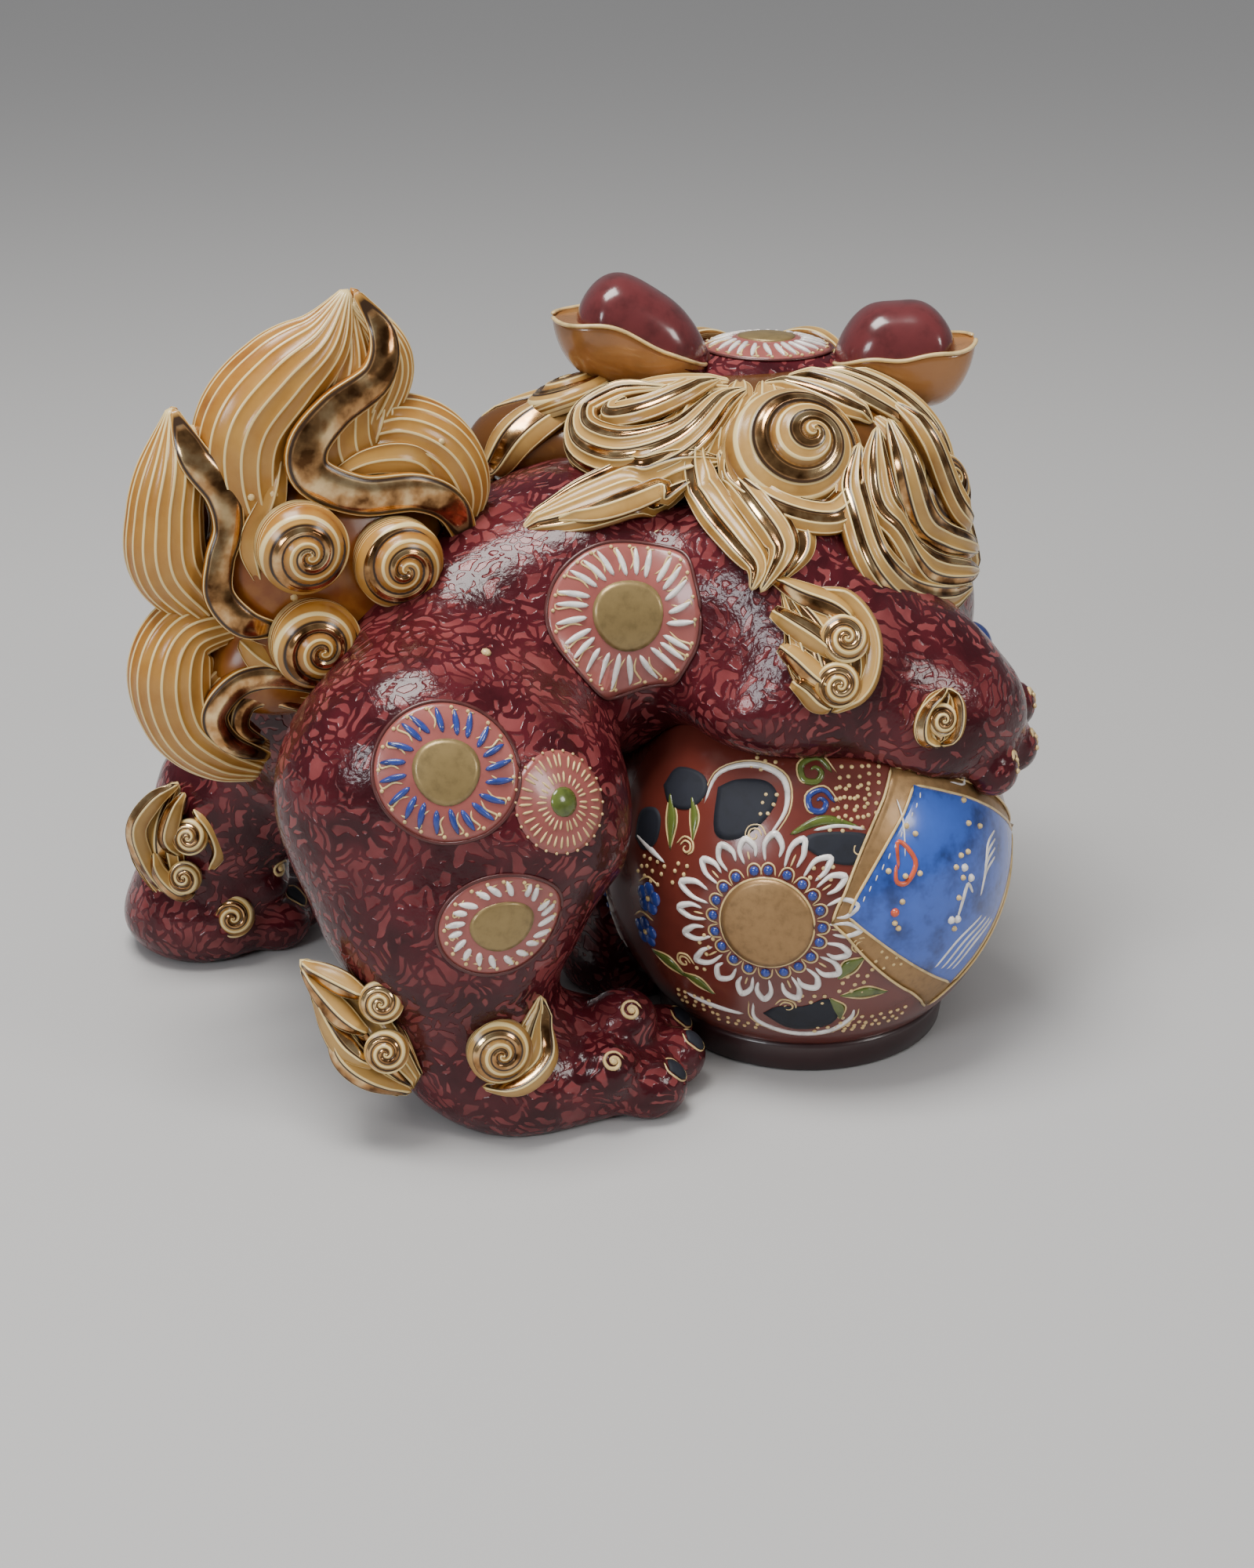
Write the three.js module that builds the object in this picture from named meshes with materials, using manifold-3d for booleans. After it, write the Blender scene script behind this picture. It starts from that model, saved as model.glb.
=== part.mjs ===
// Porcelain guardian lion (foo dog) with its right forepaw on a brocade ball.
// Millimetres. +X runs towards the chest, +Y is the dog's left, +Z is up, the feet stand on Z = 0.
// Every piece is one slip-cast or press-moulded part of clay, luted to its neighbours before firing.
import * as THREE from 'three';
import { mergeVertices } from 'three/addons/utils/BufferGeometryUtils.js';
import Module from 'manifold-3d';

const wasm = await Module();
wasm.setup();

// Driving dimensions
const WALL = 4.5;               // slip-cast wall of the hollow trunk, head and ball
const GAP = 0.3;                // line of lute between two pieces
const VENT = 1.6;               // radius of the firing vents
const BALL_AT = [50, -37, 50];
const BALL_RADIUS = 58;
const BALL_LOW = 3;             // the ball is flat underneath, this far above the floor
const RING_RADIUS = 41;         // low foot ring under the ball, glazed dark outside
const RING_BORE = 31;
const RING_HEIGHT = 9;
const HEAD_AT = [62, 22, 152];
const HEAD_TURN = 70;           // degrees that the face is turned to the dog's left from +X
const TAIL_Y = 0;               // the two faces of the tail mirror each other across this plane
const SLAB = [600, 600, 100];   // a slab longer and wider than the dog, used to cut flat undersides

// Each glaze: sRGB colour, roughness and metalness
const GLAZE = {
  maroon: [0x74282c, 0.22, 0.0], amber: [0xb98742, 0.3, 0.25], ochre: [0x9c6226, 0.3, 0.0],
  white: [0xe9e2d0, 0.25, 0.0], blue: [0x2748b0, 0.2, 0.0], dark: [0x2a1416, 0.45, 0.0],
  gold: [0xb08a4a, 0.3, 0.9], red: [0xa8372d, 0.3, 0.0], brocade: [0x8a3a30, 0.25, 0.0],
};

// ---- Solids -------------------------------------------------------------------------------

function solidOf(geometry) {
  geometry.deleteAttribute('normal');
  geometry.deleteAttribute('uv');
  const merged = mergeVertices(geometry, 1e-4);
  return new wasm.Manifold(new wasm.Mesh({
    numProp: 3,
    vertProperties: new Float32Array(merged.attributes.position.array),
    triVerts: new Uint32Array(merged.index.array),
  }));
}

function geometryOf(solid) {
  const mesh = solid.getMesh();
  const geometry = new THREE.BufferGeometry();
  geometry.setAttribute('position', new THREE.BufferAttribute(new Float32Array(mesh.vertProperties), 3));
  geometry.setIndex(new THREE.BufferAttribute(new Uint32Array(mesh.triVerts), 1));
  geometry.computeVertexNormals();
  return geometry;
}

// A form is a function of how far it is grown, so a piece and its clearance share one description.
// An ellipsoid, turned by yaw degrees about Z.
const blob = (at, radii, yaw = 0, sides = 14) => (grow) => {
  const geometry = new THREE.SphereGeometry(1, sides, Math.round(sides * 0.6));
  geometry.rotateX(Math.PI / 2);
  geometry.scale(...radii.map((r) => r + grow));
  geometry.rotateZ(THREE.MathUtils.degToRad(yaw));
  geometry.translate(...at);
  return solidOf(geometry);
};

// A sphere drawn out along a smooth path: half is its half width at the path's points, flat is
// its thickness over its width, out is the way the flat side faces, and ends says how blunt it is.
const sweep = (path, half, { flat = 1, out = [0, 0, 1], ends = 0.5, sides = 10, steps = 9 } = {}) =>
  (grow) => {
    const curve = new THREE.CatmullRomCurve3(path.map((p) => new THREE.Vector3(...p)));
    const facing = new THREE.Vector3(...out).normalize();
    const geometry = new THREE.SphereGeometry(1, sides, steps);
    const point = geometry.attributes.position;
    for (let i = 0; i < point.count; i += 1) {
      const round = Math.hypot(point.getX(i), point.getZ(i));
      const t = THREE.MathUtils.clamp((1 - point.getY(i)) / 2, 0, 1);
      const place = t * (half.length - 1);
      const low = Math.min(Math.floor(place), half.length - 2);
      const width = THREE.MathUtils.lerp(half[low], half[low + 1], place - low) + grow;
      const along = curve.getTangent(t);
      const side = new THREE.Vector3().crossVectors(along, facing).normalize();
      const up = new THREE.Vector3().crossVectors(side, along);
      const wide = round < 1e-6 ? 0 : width * round ** (ends - 1);
      const p = curve.getPoint(t).addScaledVector(side, point.getX(i) * wide);
      const high = wide * (flat * (width - grow) + grow) / width;
      p.addScaledVector(up, -point.getZ(i) * high).addScaledVector(along, -point.getY(i) * grow);
      point.setXYZ(i, p.x, p.y, p.z);
    }
    return solidOf(geometry);
  };

const disc = (at, radius, low, high, sides = 28) => (grow) => {
  const geometry = new THREE.CylinderGeometry(radius + grow, radius + grow, high - low + 2 * grow, sides);
  geometry.rotateX(Math.PI / 2);
  geometry.translate(at[0], at[1], (low + high) / 2);
  return solidOf(geometry);
};

const join = (...forms) => (grow) => forms.map((form) => form(grow)).reduce((a, b) => a.add(b));
const without = (form, ...cuts) => (grow) => cuts.reduce((a, b) => a.subtract(b(-grow)), form(grow));
const slabBelow = (z) => solidOf(new THREE.BoxGeometry(...SLAB).translate(0, 0, z - SLAB[2] / 2));

const overlap = (a, b) => [0, 1, 2].every((k) => a.min[k] < b.max[k] && b.min[k] < a.max[k]);
const largest = (solid) => solid.decompose().reduce((a, b) => (a.volume() > b.volume() ? a : b));

// ---- Assembly -----------------------------------------------------------------------------

const object = new THREE.Group();
const placed = [];
const floor = slabBelow(0);

// Adds one piece: it is cut by the floor and by the clearance of every piece placed before it.
// A hollow piece also loses its inside, less a wall to each neighbour, and gets a round vent.
function add(name, form, glaze, { hollow = false, vent = null } = {}) {
  let solid = form(0).subtract(floor);
  const box = solid.boundingBox();
  const near = placed.filter((other) => overlap(box, other.box));
  near.forEach((other) => { solid = solid.subtract(other.form(GAP)).subtract(other.solid); });
  if (hollow) {
    let inside = form(-WALL).subtract(slabBelow(WALL));
    near.forEach((other) => { inside = inside.subtract(other.form(GAP + WALL)); });
    solid = solid.subtract(largest(inside));
    const hole = new THREE.CylinderGeometry(VENT, VENT, vent.length, 10).rotateX(Math.PI / 2);
    if (vent.tilt) hole.rotateX(THREE.MathUtils.degToRad(vent.tilt));
    solid = solid.subtract(solidOf(hole.translate(...vent.at)));
  }
  solid = largest(solid);
  placed.push({ form, box, solid });
  const [color, roughness, metalness] = GLAZE[glaze];
  const material = new THREE.MeshStandardMaterial({ color, roughness, metalness });
  const mesh = new THREE.Mesh(geometryOf(solid), material);
  mesh.name = name;
  object.add(mesh);
}

// ---- Ball ---------------------------------------------------------------------------------

add('ball_shell', without(blob(BALL_AT, [BALL_RADIUS, BALL_RADIUS, BALL_RADIUS], 0, 24),
  () => slabBelow(BALL_LOW)),
'brocade', { hollow: true, vent: { at: [BALL_AT[0], BALL_AT[1], 3], length: 20 } });
add('ball_foot_ring', without(disc(BALL_AT, RING_RADIUS, 0, RING_HEIGHT),
  disc(BALL_AT, RING_BORE, -1, RING_HEIGHT + 1)), 'dark');

// ---- Trunk and legs -----------------------------------------------------------------------

add('trunk_shell', join(
  blob([-44, 0, 108], [36, 40, 36]), blob([-2, 0, 117], [48, 43, 42]),
  blob([66, -2, 120], [46, 46, 44]), blob([60, 8, 142], [38, 37, 31])),
'maroon', { hollow: true, vent: { at: [-12, 0, 78], length: 16 } });

add('right_foreleg', join(
  blob([40, -36, 124], [34, 27, 34], 0, 14),
  sweep([[42, -52, 118], [60, -57, 109], [76, -58, 101], [92, -57, 90]], [22, 21, 17, 14]),
  blob([80, -18, 108], [31, 27, 25], 0, 12),
  ...[[99, -44, 97], [99, -54, 92], [93, -65, 86], [85, -74, 86]].map((at) => blob(at, [8, 7, 7], 0, 7))),
'maroon');

add('left_foreleg', join(
  blob([48, 30, 118], [34, 26, 34], 0, 14),
  sweep([[42, 28, 110], [24, 14, 74], [10, 2, 40], [8, -2, 4]], [24, 23, 18, 17]),
  blob([12, -2, 8], [20, 18, 12], 0, 14)), 'maroon');

add('right_hind_leg', join(
  blob([-60, -39, 88], [42, 34, 41], 0, 14),
  sweep([[-44, -44, 84], [-54, -49, 56], [-60, -51, 34], [-60, -52, 8]], [36, 30, 22, 19]),
  blob([-46, -58, 12], [24, 26, 18], 0, 12), blob([-18, -58, 10], [20, 24, 13], 0, 12),
  ...[[-20, -64, 19], [-30, -75, 15]].map((at) => blob(at, [6, 6, 6], 0, 7))), 'maroon');

add('left_hind_leg', join(
  blob([-58, 34, 90], [40, 34, 38], 0, 14),
  sweep([[-62, 44, 86], [-84, 57, 58], [-98, 64, 34], [-104, 66, 8]], [28, 23, 19, 17]),
  blob([-99, 68, 10], [29, 26, 14], 0, 14)), 'maroon');

// ---- Head, described along its own forward, left and up directions --------------------------

const turn = THREE.MathUtils.degToRad(HEAD_TURN);
const onHead = ([f, l, u]) => [
  HEAD_AT[0] + f * Math.cos(turn) - l * Math.sin(turn),
  HEAD_AT[1] + f * Math.sin(turn) + l * Math.cos(turn), HEAD_AT[2] + u];
const headWay = ([f, l, u]) => [
  f * Math.cos(turn) - l * Math.sin(turn), f * Math.sin(turn) + l * Math.cos(turn), u];
const headBlob = (at, radii, sides = 12) => blob(onHead(at), radii, HEAD_TURN, sides);
const headSweep = (path, half, options = {}) =>
  sweep(path.map(onHead), half, { ...options, out: headWay(options.out ?? [0, 0, 1]) });
const SIDES = [['left', 1], ['right', -1]];
const mouth = headBlob([50, 0, -22], [26, 17, 8], 10);

add('head_shell', without(join(headBlob([0, 0, 0], [38, 42, 35], 14), headBlob([34, 0, -5], [27, 26, 17], 12)),
  (grow) => mouth(grow)),
'maroon', { hollow: true, vent: { at: [50, -5, 170], length: 34, tilt: -30 } });
add('lower_jaw', without(headBlob([34, 0, -34], [27, 21, 10], 12), mouth), 'maroon');
add('tongue', headBlob([44, 0, -26], [14, 8, 3.5], 8), 'red');
add('nose', join(headBlob([60, 0, 4], [6, 9, 6], 10), headBlob([59, 7, 2], [5, 5, 4.5], 8),
  headBlob([59, -7, 2], [5, 5, 4.5], 8)), 'maroon');

// Teeth: a bar of incisors with a fang at each end, let into each jaw.
const teeth = (height, fang) => join(
  headSweep([[42, -15, height], [54, -10, height], [59, 0, height], [54, 10, height], [42, 15, height]],
    [2.2, 2.2, 2.2, 2.2, 2.2], { steps: 10, sides: 6 }),
  ...[-10, 10].map((l) => headSweep([[54, l, height], [54.5, l, height + fang]], [2.4, 1.2],
    { out: [1, 0, 0], ends: 1, sides: 6, steps: 5 })));
add('upper_teeth', teeth(-16, -7), 'white');
add('lower_teeth', teeth(-29, 6), 'white');

SIDES.forEach(([side, s]) => {
  add(`${side}_eye`, headBlob([36, s * 14, 8], [8, 8, 8], 10), 'white');
  add(`${side}_brow`, headSweep([[46, s * 5, 14], [42, s * 14, 19], [30, s * 26, 18]], [3, 6, 3],
    { out: [0.6, s * 0.3, 0.7], ends: 0.8, steps: 7, sides: 8 }), 'amber');
  add(`${side}_ear`, headSweep([[-12, s * 22, 27], [-11, s * 41, 35], [-10, s * 61, 36]], [8, 14, 9],
    { flat: 0.72, out: [-1, 0, 0.2], sides: 12 }), 'maroon');
  add(`${side}_cheek_curl`, headBlob([20, s * 34, -10], [12, 9, 13], 12), 'amber');
});
add('beard', headSweep([[40, 0, -38], [38, 0, -52], [44, 0, -62]], [13, 11, 3],
  { flat: 0.6, out: [1, 0, 0], ends: 0.8 }), 'amber');

// ---- Mane: press-moulded locks laid over the neck from under the ears -----------------------

const BACK = [-0.1, -0.75, 0.6];   // the way the back of the neck faces
const lock = (path, half, out = BACK, flat = 0.45) =>
  sweep(path, half, { flat, out, ends: 0.8, sides: 8, steps: 8 });
const cape = join(blob([50, 2, 156], [37, 33, 27], 0, 14), blob([70, -14, 146], [34, 30, 26], 0, 12));
add('mane_cape', cape, 'amber');
add('mane_big_curl', blob([52, -27, 160], [20, 13, 19], 0, 12), 'amber');
add('mane_left_curl', lock([[44, -6, 172], [26, -2, 172], [6, 0, 167], [10, -4, 156], [30, -10, 160]],
  [7, 10, 9, 8, 4]), 'amber');
add('mane_leaf_lock', lock([[32, -20, 158], [12, -20, 155], [-8, -22, 152], [-26, -19, 150]],
  [7, 9, 8, 2]), 'amber');
add('mane_middle_lock', lock([[33, -36, 160], [29, -45, 152], [28, -56, 145], [26, -60, 137]],
  [7, 8, 7, 2], [-0.1, -0.9, 0.5]), 'amber');
add('mane_right_lock', lock([[74, -42, 152], [68, -56, 140], [76, -60, 128], [94, -50, 120], [108, -36, 116]],
  [9, 10, 10, 8, 4], [0.2, -0.9, 0.4]), 'amber');
add('mane_right_curl', blob([93, -32, 144], [15, 14, 19], 0, 12), 'amber');
add('mane_front_lock', lock([[92, -8, 166], [104, -8, 150], [110, -14, 132], [108, -24, 120]],
  [6, 9, 9, 4], [0.9, -0.3, 0.3]), 'amber');
add('mane_left_side_lock', lock([[22, 36, 168], [4, 40, 160], [-10, 40, 152], [-24, 30, 148]],
  [9, 12, 10, 3], [-0.4, 0.3, 0.8]), 'amber');
add('mane_left_side_curl', blob([6, 30, 172], [15, 13, 9], 0, 12), 'amber');
add('mane_chest_lock', lock([[104, 26, 150], [112, 30, 130], [110, 34, 110], [104, 36, 98]],
  [8, 11, 9, 3], [0.8, 0.6, 0]), 'amber');
add('mane_throat_lock', lock([[20, 52, 150], [20, 56, 130], [26, 56, 112], [34, 54, 100]],
  [9, 12, 9, 3], [-0.5, 0.85, 0]), 'amber');

// ---- Tail: a flame with two tips, a hooked base and three snail curls on each face ----------

const inTail = (points) => points.map(([x, z]) => [x, TAIL_Y, z]);
const flame = (points, half, flat) =>
  sweep(inTail(points), half, { flat, out: [0, -1, 0], ends: 0.7, steps: 9 });
const tailCore = join(
  blob([-76, TAIL_Y, 140], [34, 16, 28], 0, 14), blob([-88, TAIL_Y, 112], [24, 15, 16], 0, 12),
  sweep([[-56, TAIL_Y, 110], [-66, TAIL_Y, 124], [-76, TAIL_Y, 138]], [15, 16, 15]));
add('tail_base', tailCore, 'ochre');
add('tail_top_flame', join(
  flame([[-90, 150], [-93, 172], [-80, 191], [-69, 198], [-66, 212]], [9, 13, 14, 10, 4], 1.1),
  flame([[-76, 184], [-60, 172], [-46, 164], [-38, 142]], [7, 14, 13, 5], 1.0),
  flame([[-66, 204], [-60, 194], [-66, 180], [-74, 168]], [5, 6, 8, 8], 1.2)), 'amber');
add('tail_left_flame', flame([[-113, 186], [-109, 168], [-112, 152], [-112, 138], [-100, 124]],
  [2, 10, 13, 12, 8], 1.0), 'amber');
add('tail_hook', flame([[-92, 118], [-110, 118], [-117, 105], [-109, 92], [-94, 85]], [8, 12, 13, 10, 5],
  1.0), 'amber');
[['right', -1], ['left', 1]].forEach(([side, s]) => {
  [['rear', [-86, 150]], ['front', [-61, 143]], ['low', [-84, 124]]].forEach(([place, [x, z]]) => {
    add(`tail_${place}_curl_${side}`, blob([x, s * 19, z], [12.5, 9, 12.5], 0, 10), 'gold');
  });
});

// ---- Tufts and curls on the legs ------------------------------------------------------------

add('right_elbow_tuft', sweep([[30, -64, 138], [37, -70, 124], [38, -72, 106]], [7, 12, 7],
  { flat: 0.5, out: [-0.1, -1, 0.2], ends: 0.7 }), 'amber');
add('right_paw_curl', blob([68, -75, 103], [6, 5, 8], 0, 10), 'amber');
add('left_elbow_tuft', sweep([[34, 56, 128], [40, 57, 114], [42, 54, 98]], [7, 12, 7],
  { flat: 0.5, out: [0, 1, 0.1], ends: 0.7 }), 'amber');
add('right_hock_tuft', sweep([[-98, -46, 50], [-88, -54, 38], [-76, -62, 22], [-68, -66, 8]], [2, 9, 10, 4],
  { flat: 0.7, out: [-0.6, -0.7, 0.2], ends: 0.7 }), 'amber');
add('right_ankle_curl', blob([-52, -72, 28], [12, 8, 12], 0, 12), 'amber');
add('left_hock_tuft', sweep([[-112, 58, 62], [-118, 60, 46], [-120, 62, 30], [-118, 62, 20]], [5, 10, 10, 5],
  { flat: 0.7, out: [-0.7, -0.6, 0.2], ends: 0.7 }), 'amber');
add('left_ankle_curl', blob([-96, 85, 28], [11, 8, 11], 0, 12), 'amber');

// ---- Bell on the chest ----------------------------------------------------------------------

add('chest_bell', join(blob([118, -6, 91], [8, 8, 8], 0, 12),
  sweep([[102, -8, 107], [111, -7, 102], [117, -6, 96]], [5, 4, 3], { steps: 6, sides: 8 })), 'blue');

// The origin is the middle of the footprint's box, on the surface that the feet stand on.
const bounds = new THREE.Box3().setFromObject(object);
const middle = bounds.getCenter(new THREE.Vector3());
object.position.set(-middle.x, -middle.y, -bounds.min.z);

export default object;
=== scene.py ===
import bpy
import numpy as np
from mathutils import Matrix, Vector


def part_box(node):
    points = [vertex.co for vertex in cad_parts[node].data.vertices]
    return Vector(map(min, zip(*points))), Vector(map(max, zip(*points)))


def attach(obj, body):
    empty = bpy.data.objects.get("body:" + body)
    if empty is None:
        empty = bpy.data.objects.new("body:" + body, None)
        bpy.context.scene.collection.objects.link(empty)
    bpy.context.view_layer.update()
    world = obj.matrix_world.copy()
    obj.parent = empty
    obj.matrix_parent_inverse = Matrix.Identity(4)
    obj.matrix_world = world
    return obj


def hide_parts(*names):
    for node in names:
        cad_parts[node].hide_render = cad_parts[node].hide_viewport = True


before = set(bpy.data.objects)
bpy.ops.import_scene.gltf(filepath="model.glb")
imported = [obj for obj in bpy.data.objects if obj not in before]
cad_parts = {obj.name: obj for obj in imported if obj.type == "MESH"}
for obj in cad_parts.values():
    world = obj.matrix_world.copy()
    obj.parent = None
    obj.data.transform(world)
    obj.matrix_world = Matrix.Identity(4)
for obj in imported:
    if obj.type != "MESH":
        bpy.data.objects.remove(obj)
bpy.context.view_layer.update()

# ---- Camera ---------------------------------------------------------------------------------
# A short tele lens, looking down on the dog's right side from a little behind it.
# The lion is laid out in millimetres: +X to its chest, +Y to its left, and SHIFT takes that to the frame.
MM = 0.001
BALL, BALL_RADIUS = np.array([50.0, -37.0, 50.0]), 58.0
ring_low, ring_high = (np.array(corner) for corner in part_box("ball_foot_ring"))
SHIFT = np.array([*(ring_low + ring_high)[:2] / 2 / MM - BALL[:2], 0.0])
camera_turn, camera_rise = np.radians(-22.0), np.radians(24.0)
camera_aim, camera_distance = np.array([-10.0, -50.0, 85.0]), 600.0
camera_back = np.array([np.sin(camera_turn) * np.cos(camera_rise),
                        -np.cos(camera_turn) * np.cos(camera_rise), np.sin(camera_rise)])
camera_data = bpy.data.cameras.new("view")
camera_data.lens = 51.84
camera_data.sensor_width = 36.0
camera = bpy.data.objects.new("view", camera_data)
camera.location = (camera_aim + SHIFT + camera_distance * camera_back) * MM
camera.rotation_euler = (np.pi / 2 - camera_rise, 0.0, camera_turn)
bpy.context.scene.collection.objects.link(camera)
bpy.context.scene.camera = camera

# ---- Studio ---------------------------------------------------------------------------------
# A pale paper floor, a grey room, a soft box overhead, a smaller one at each side, and light from
# the whole ceiling that casts soft shadows but isn't seen in the glaze.


def new_material(name):
    """A node material with a Principled shader: gives the material, its nodes, its links and shader."""
    material = bpy.data.materials.new(name)
    material.use_nodes = True
    nodes, links = material.node_tree.nodes, material.node_tree.links
    return material, nodes, links, nodes["Principled BSDF"]


def soft_box(name, place, aim, size, power, tint=(1.0, 1.0, 1.0)):
    """A square area light at place, turned to aim, both in millimetres."""
    data = bpy.data.lights.new(name, "AREA")
    data.size, data.energy, data.color = size, power, tint
    lamp = bpy.data.objects.new(name, data)
    away = np.array(place, float) - np.array(aim, float)
    lamp.location = np.array(place, float) * MM
    lamp.rotation_euler = (np.arctan2(np.hypot(away[0], away[1]), away[2]), 0.0,
                           np.arctan2(away[0], -away[1]))
    bpy.context.scene.collection.objects.link(lamp)


soft_box("overhead_box", (-250, 0, 1300), (0, 0, 80), 0.55, 19.0, (1.0, 0.98, 0.95))
soft_box("left_box", (-1100, -700, 700), (0, 0, 80), 0.36, 6.5, (0.93, 0.96, 1.0))
soft_box("right_box", (800, -1100, 800), (0, 0, 80), 0.34, 5.5, (1.0, 0.97, 0.93))
sun_data = bpy.data.lights.new("diffused_ceiling", "SUN")
sun_data.energy, sun_data.angle = 1.05, np.radians(60.0)
sun = bpy.data.objects.new("diffused_ceiling", sun_data)
sun.rotation_euler = (np.radians(18.0), np.radians(-12.0), 0.0)
sun.visible_glossy = False
bpy.context.scene.collection.objects.link(sun)
world = bpy.data.worlds.new("room")
world.use_nodes = True
world.node_tree.nodes["Background"].inputs["Color"].default_value = (0.62, 0.63, 0.66, 1.0)
world.node_tree.nodes["Background"].inputs["Strength"].default_value = 0.30
bpy.context.scene.world = world

paper, nodes, links, shader = new_material("pale_paper")
shader.inputs["Base Color"].default_value = (0.47, 0.465, 0.46, 1.0)
shader.inputs["Roughness"].default_value = 0.8
floor_mesh = bpy.data.meshes.new("floor")
FLOOR = 60.0   # metres from the middle to each edge, so that no edge shows
floor_mesh.from_pydata([(-FLOOR, -FLOOR, 0), (FLOOR, -FLOOR, 0), (FLOOR, FLOOR, 0), (-FLOOR, FLOOR, 0)],
                       [], [(0, 1, 2, 3)])
floor_mesh.materials.append(paper)
floor = bpy.data.objects.new("floor", floor_mesh)
bpy.context.scene.collection.objects.link(floor)

# ---- Trunk and legs -------------------------------------------------------------------------
# Hollow slip-cast trunk with four luted legs: one skin of glaze runs over the joints.
# Maroon brush lines are painted in a net over a pinkish red ground, under a clear glossy glaze.


def egg(p, centre, radii):
    """Distance to an ellipsoid, near enough: k(k-1)/g, k the scaled radius, g its gradient's size."""
    q = p - np.array(centre, float)
    k = np.linalg.norm(q / radii, axis=-1)
    return k * (k - 1) / (np.linalg.norm(q / np.square(radii), axis=-1) + 1e-9)


def bone(p, a, ra, b, rb):
    """Distance to a rod from a to b whose radius runs evenly from ra to rb."""
    a, b = np.array(a, float), np.array(b, float)
    h = np.clip((p - a) @ (b - a) / ((b - a) @ (b - a)), 0, 1)
    return np.linalg.norm(p - a - h[..., None] * (b - a), axis=-1) - (ra + (rb - ra) * h)


def melt(parts, k):
    """Union with a fillet of width k: the lower distance, less (k - difference) squared over 4k."""
    total = parts[0]
    for part in parts[1:]:
        near = np.clip(k - np.abs(total - part), 0, None)
        total = np.minimum(total, part) - near * near / (4 * k)
    return total


TOES = {"right_hind": [(-14, -43, 8), (-2, -54, 9), (-4, -67, 9), (-14, -78, 8)],
        "left_hind": [(-84, 53, 8), (-76, 62, 9), (-76, 74, 9), (-84, 85, 8)],
        "left_fore": [(22, -14, 7), (28, -4, 7), (27, 7, 7), (20, 16, 7)]}
PAW_TOES = [(101, -44, 98), (104, -54, 92), (98, -66, 85), (86, -76, 84)]
KNUCKLES = [(-17, -64, 22, 9.5), (-27, -77, 16, 8.5), (-88, 52, 24, 8.0), (-92, 84, 19, 7.5)]


RUMP, BARREL = ((-44, 0, 108), (36, 40, 36)), ((-2, 0, 117), (48, 43, 42))
CHEST, CREST = ((66, -2, 120), (44, 46, 44)), ((60, 8, 142), (37, 37, 31))
BREAST = ((76, -18, 108), (28, 27, 25))
RIGHT_SHOULDER, LEFT_SHOULDER = ((40, -36, 124), (34, 27, 34)), ((48, 30, 118), (34, 26, 34))
FILLET, TOE_FILLET = 16.0, 3.5
BALL_BED, RING_BED, RING_TOP = 58.4, 41.5, 9.3   # the clay stops a little outside the ball and its ring


def body_field(p):
    """Trunk, legs, toes and knuckles, cut to the ball, its foot ring and the ground."""
    trunk = [egg(p, *part) for part in (RUMP, BARREL, CHEST, CREST, BREAST)]
    fore = [egg(p, *RIGHT_SHOULDER), egg(p, (40, -56, 105), (32, 21, 15)),
            bone(p, (46, -54, 116), 22, (76, -58, 102), 17),
            bone(p, (76, -58, 102), 17, (87, -57, 96), 11.5), egg(p, (72, -62, 94), (26, 19, 14)),
            egg(p, *LEFT_SHOULDER), bone(p, (40, 28, 104), 26, (10, 4, 50), 19),
            bone(p, (10, 4, 50), 19, (8, -2, 12), 16), egg(p, (12, -1, 8), (20, 18, 12))]
    hind = [egg(p, (-60, -39, 88), (42, 34, 41)), bone(p, (-44, -46, 78), 34, (-58, -50, 50), 25),
            bone(p, (-58, -50, 50), 25, (-61, -52, 24), 18.5), egg(p, (-46, -58, 12), (23, 25, 18)),
            egg(p, (-20, -58, 9), (19, 23, 12)), egg(p, (-63, -47, 62), (27, 27, 24)),
            egg(p, (-58, 34, 90), (40, 34, 38)), bone(p, (-62, 46, 84), 28, (-92, 62, 48), 20),
            bone(p, (-92, 62, 48), 20, (-104, 66, 24), 17), egg(p, (-102, 68, 10), (25, 24, 14))]
    body = melt(trunk + fore + hind, FILLET)
    toes = [egg(p, toe, (10, 7.5, 8.5)) for row in TOES.values() for toe in row]
    toes += [bone(p, (84, -57, 96), 8.0, toe, 7.2) for toe in PAW_TOES]
    toes += [egg(p, knuckle[:3], (knuckle[3], knuckle[3], 0.92 * knuckle[3])) for knuckle in KNUCKLES]
    body = melt([body] + toes, TOE_FILLET)
    clear_of_ball = BALL_BED - np.linalg.norm(p - BALL, axis=-1)
    from_axis = np.hypot(p[..., 0] - BALL[0], p[..., 1] - BALL[1])
    clear_of_ring = -np.maximum(from_axis - RING_BED, p[..., 2] - RING_TOP)
    return np.maximum.reduce([body, clear_of_ball, clear_of_ring, -p[..., 2]])


def slope(field, p, reach=0.4):
    """The field's gradient by central differences."""
    steps = reach * np.eye(3)
    return np.stack([field(p + s) - field(p - s) for s in steps], -1) / (2 * reach)


def drop(field, p, rounds=5):
    """Moves points along the gradient until they lie where the field is 0; gives them and the normals."""
    p = np.array(p, float)
    for _ in range(rounds):
        g = slope(field, p)
        step = field(p)[..., None] * g / (np.sum(g * g, -1, keepdims=True) + 1e-6)
        p = p - np.clip(step, -4, 4)
    g = slope(field, p)
    return p, g / (np.linalg.norm(g, axis=-1, keepdims=True) + 1e-9)


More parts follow.
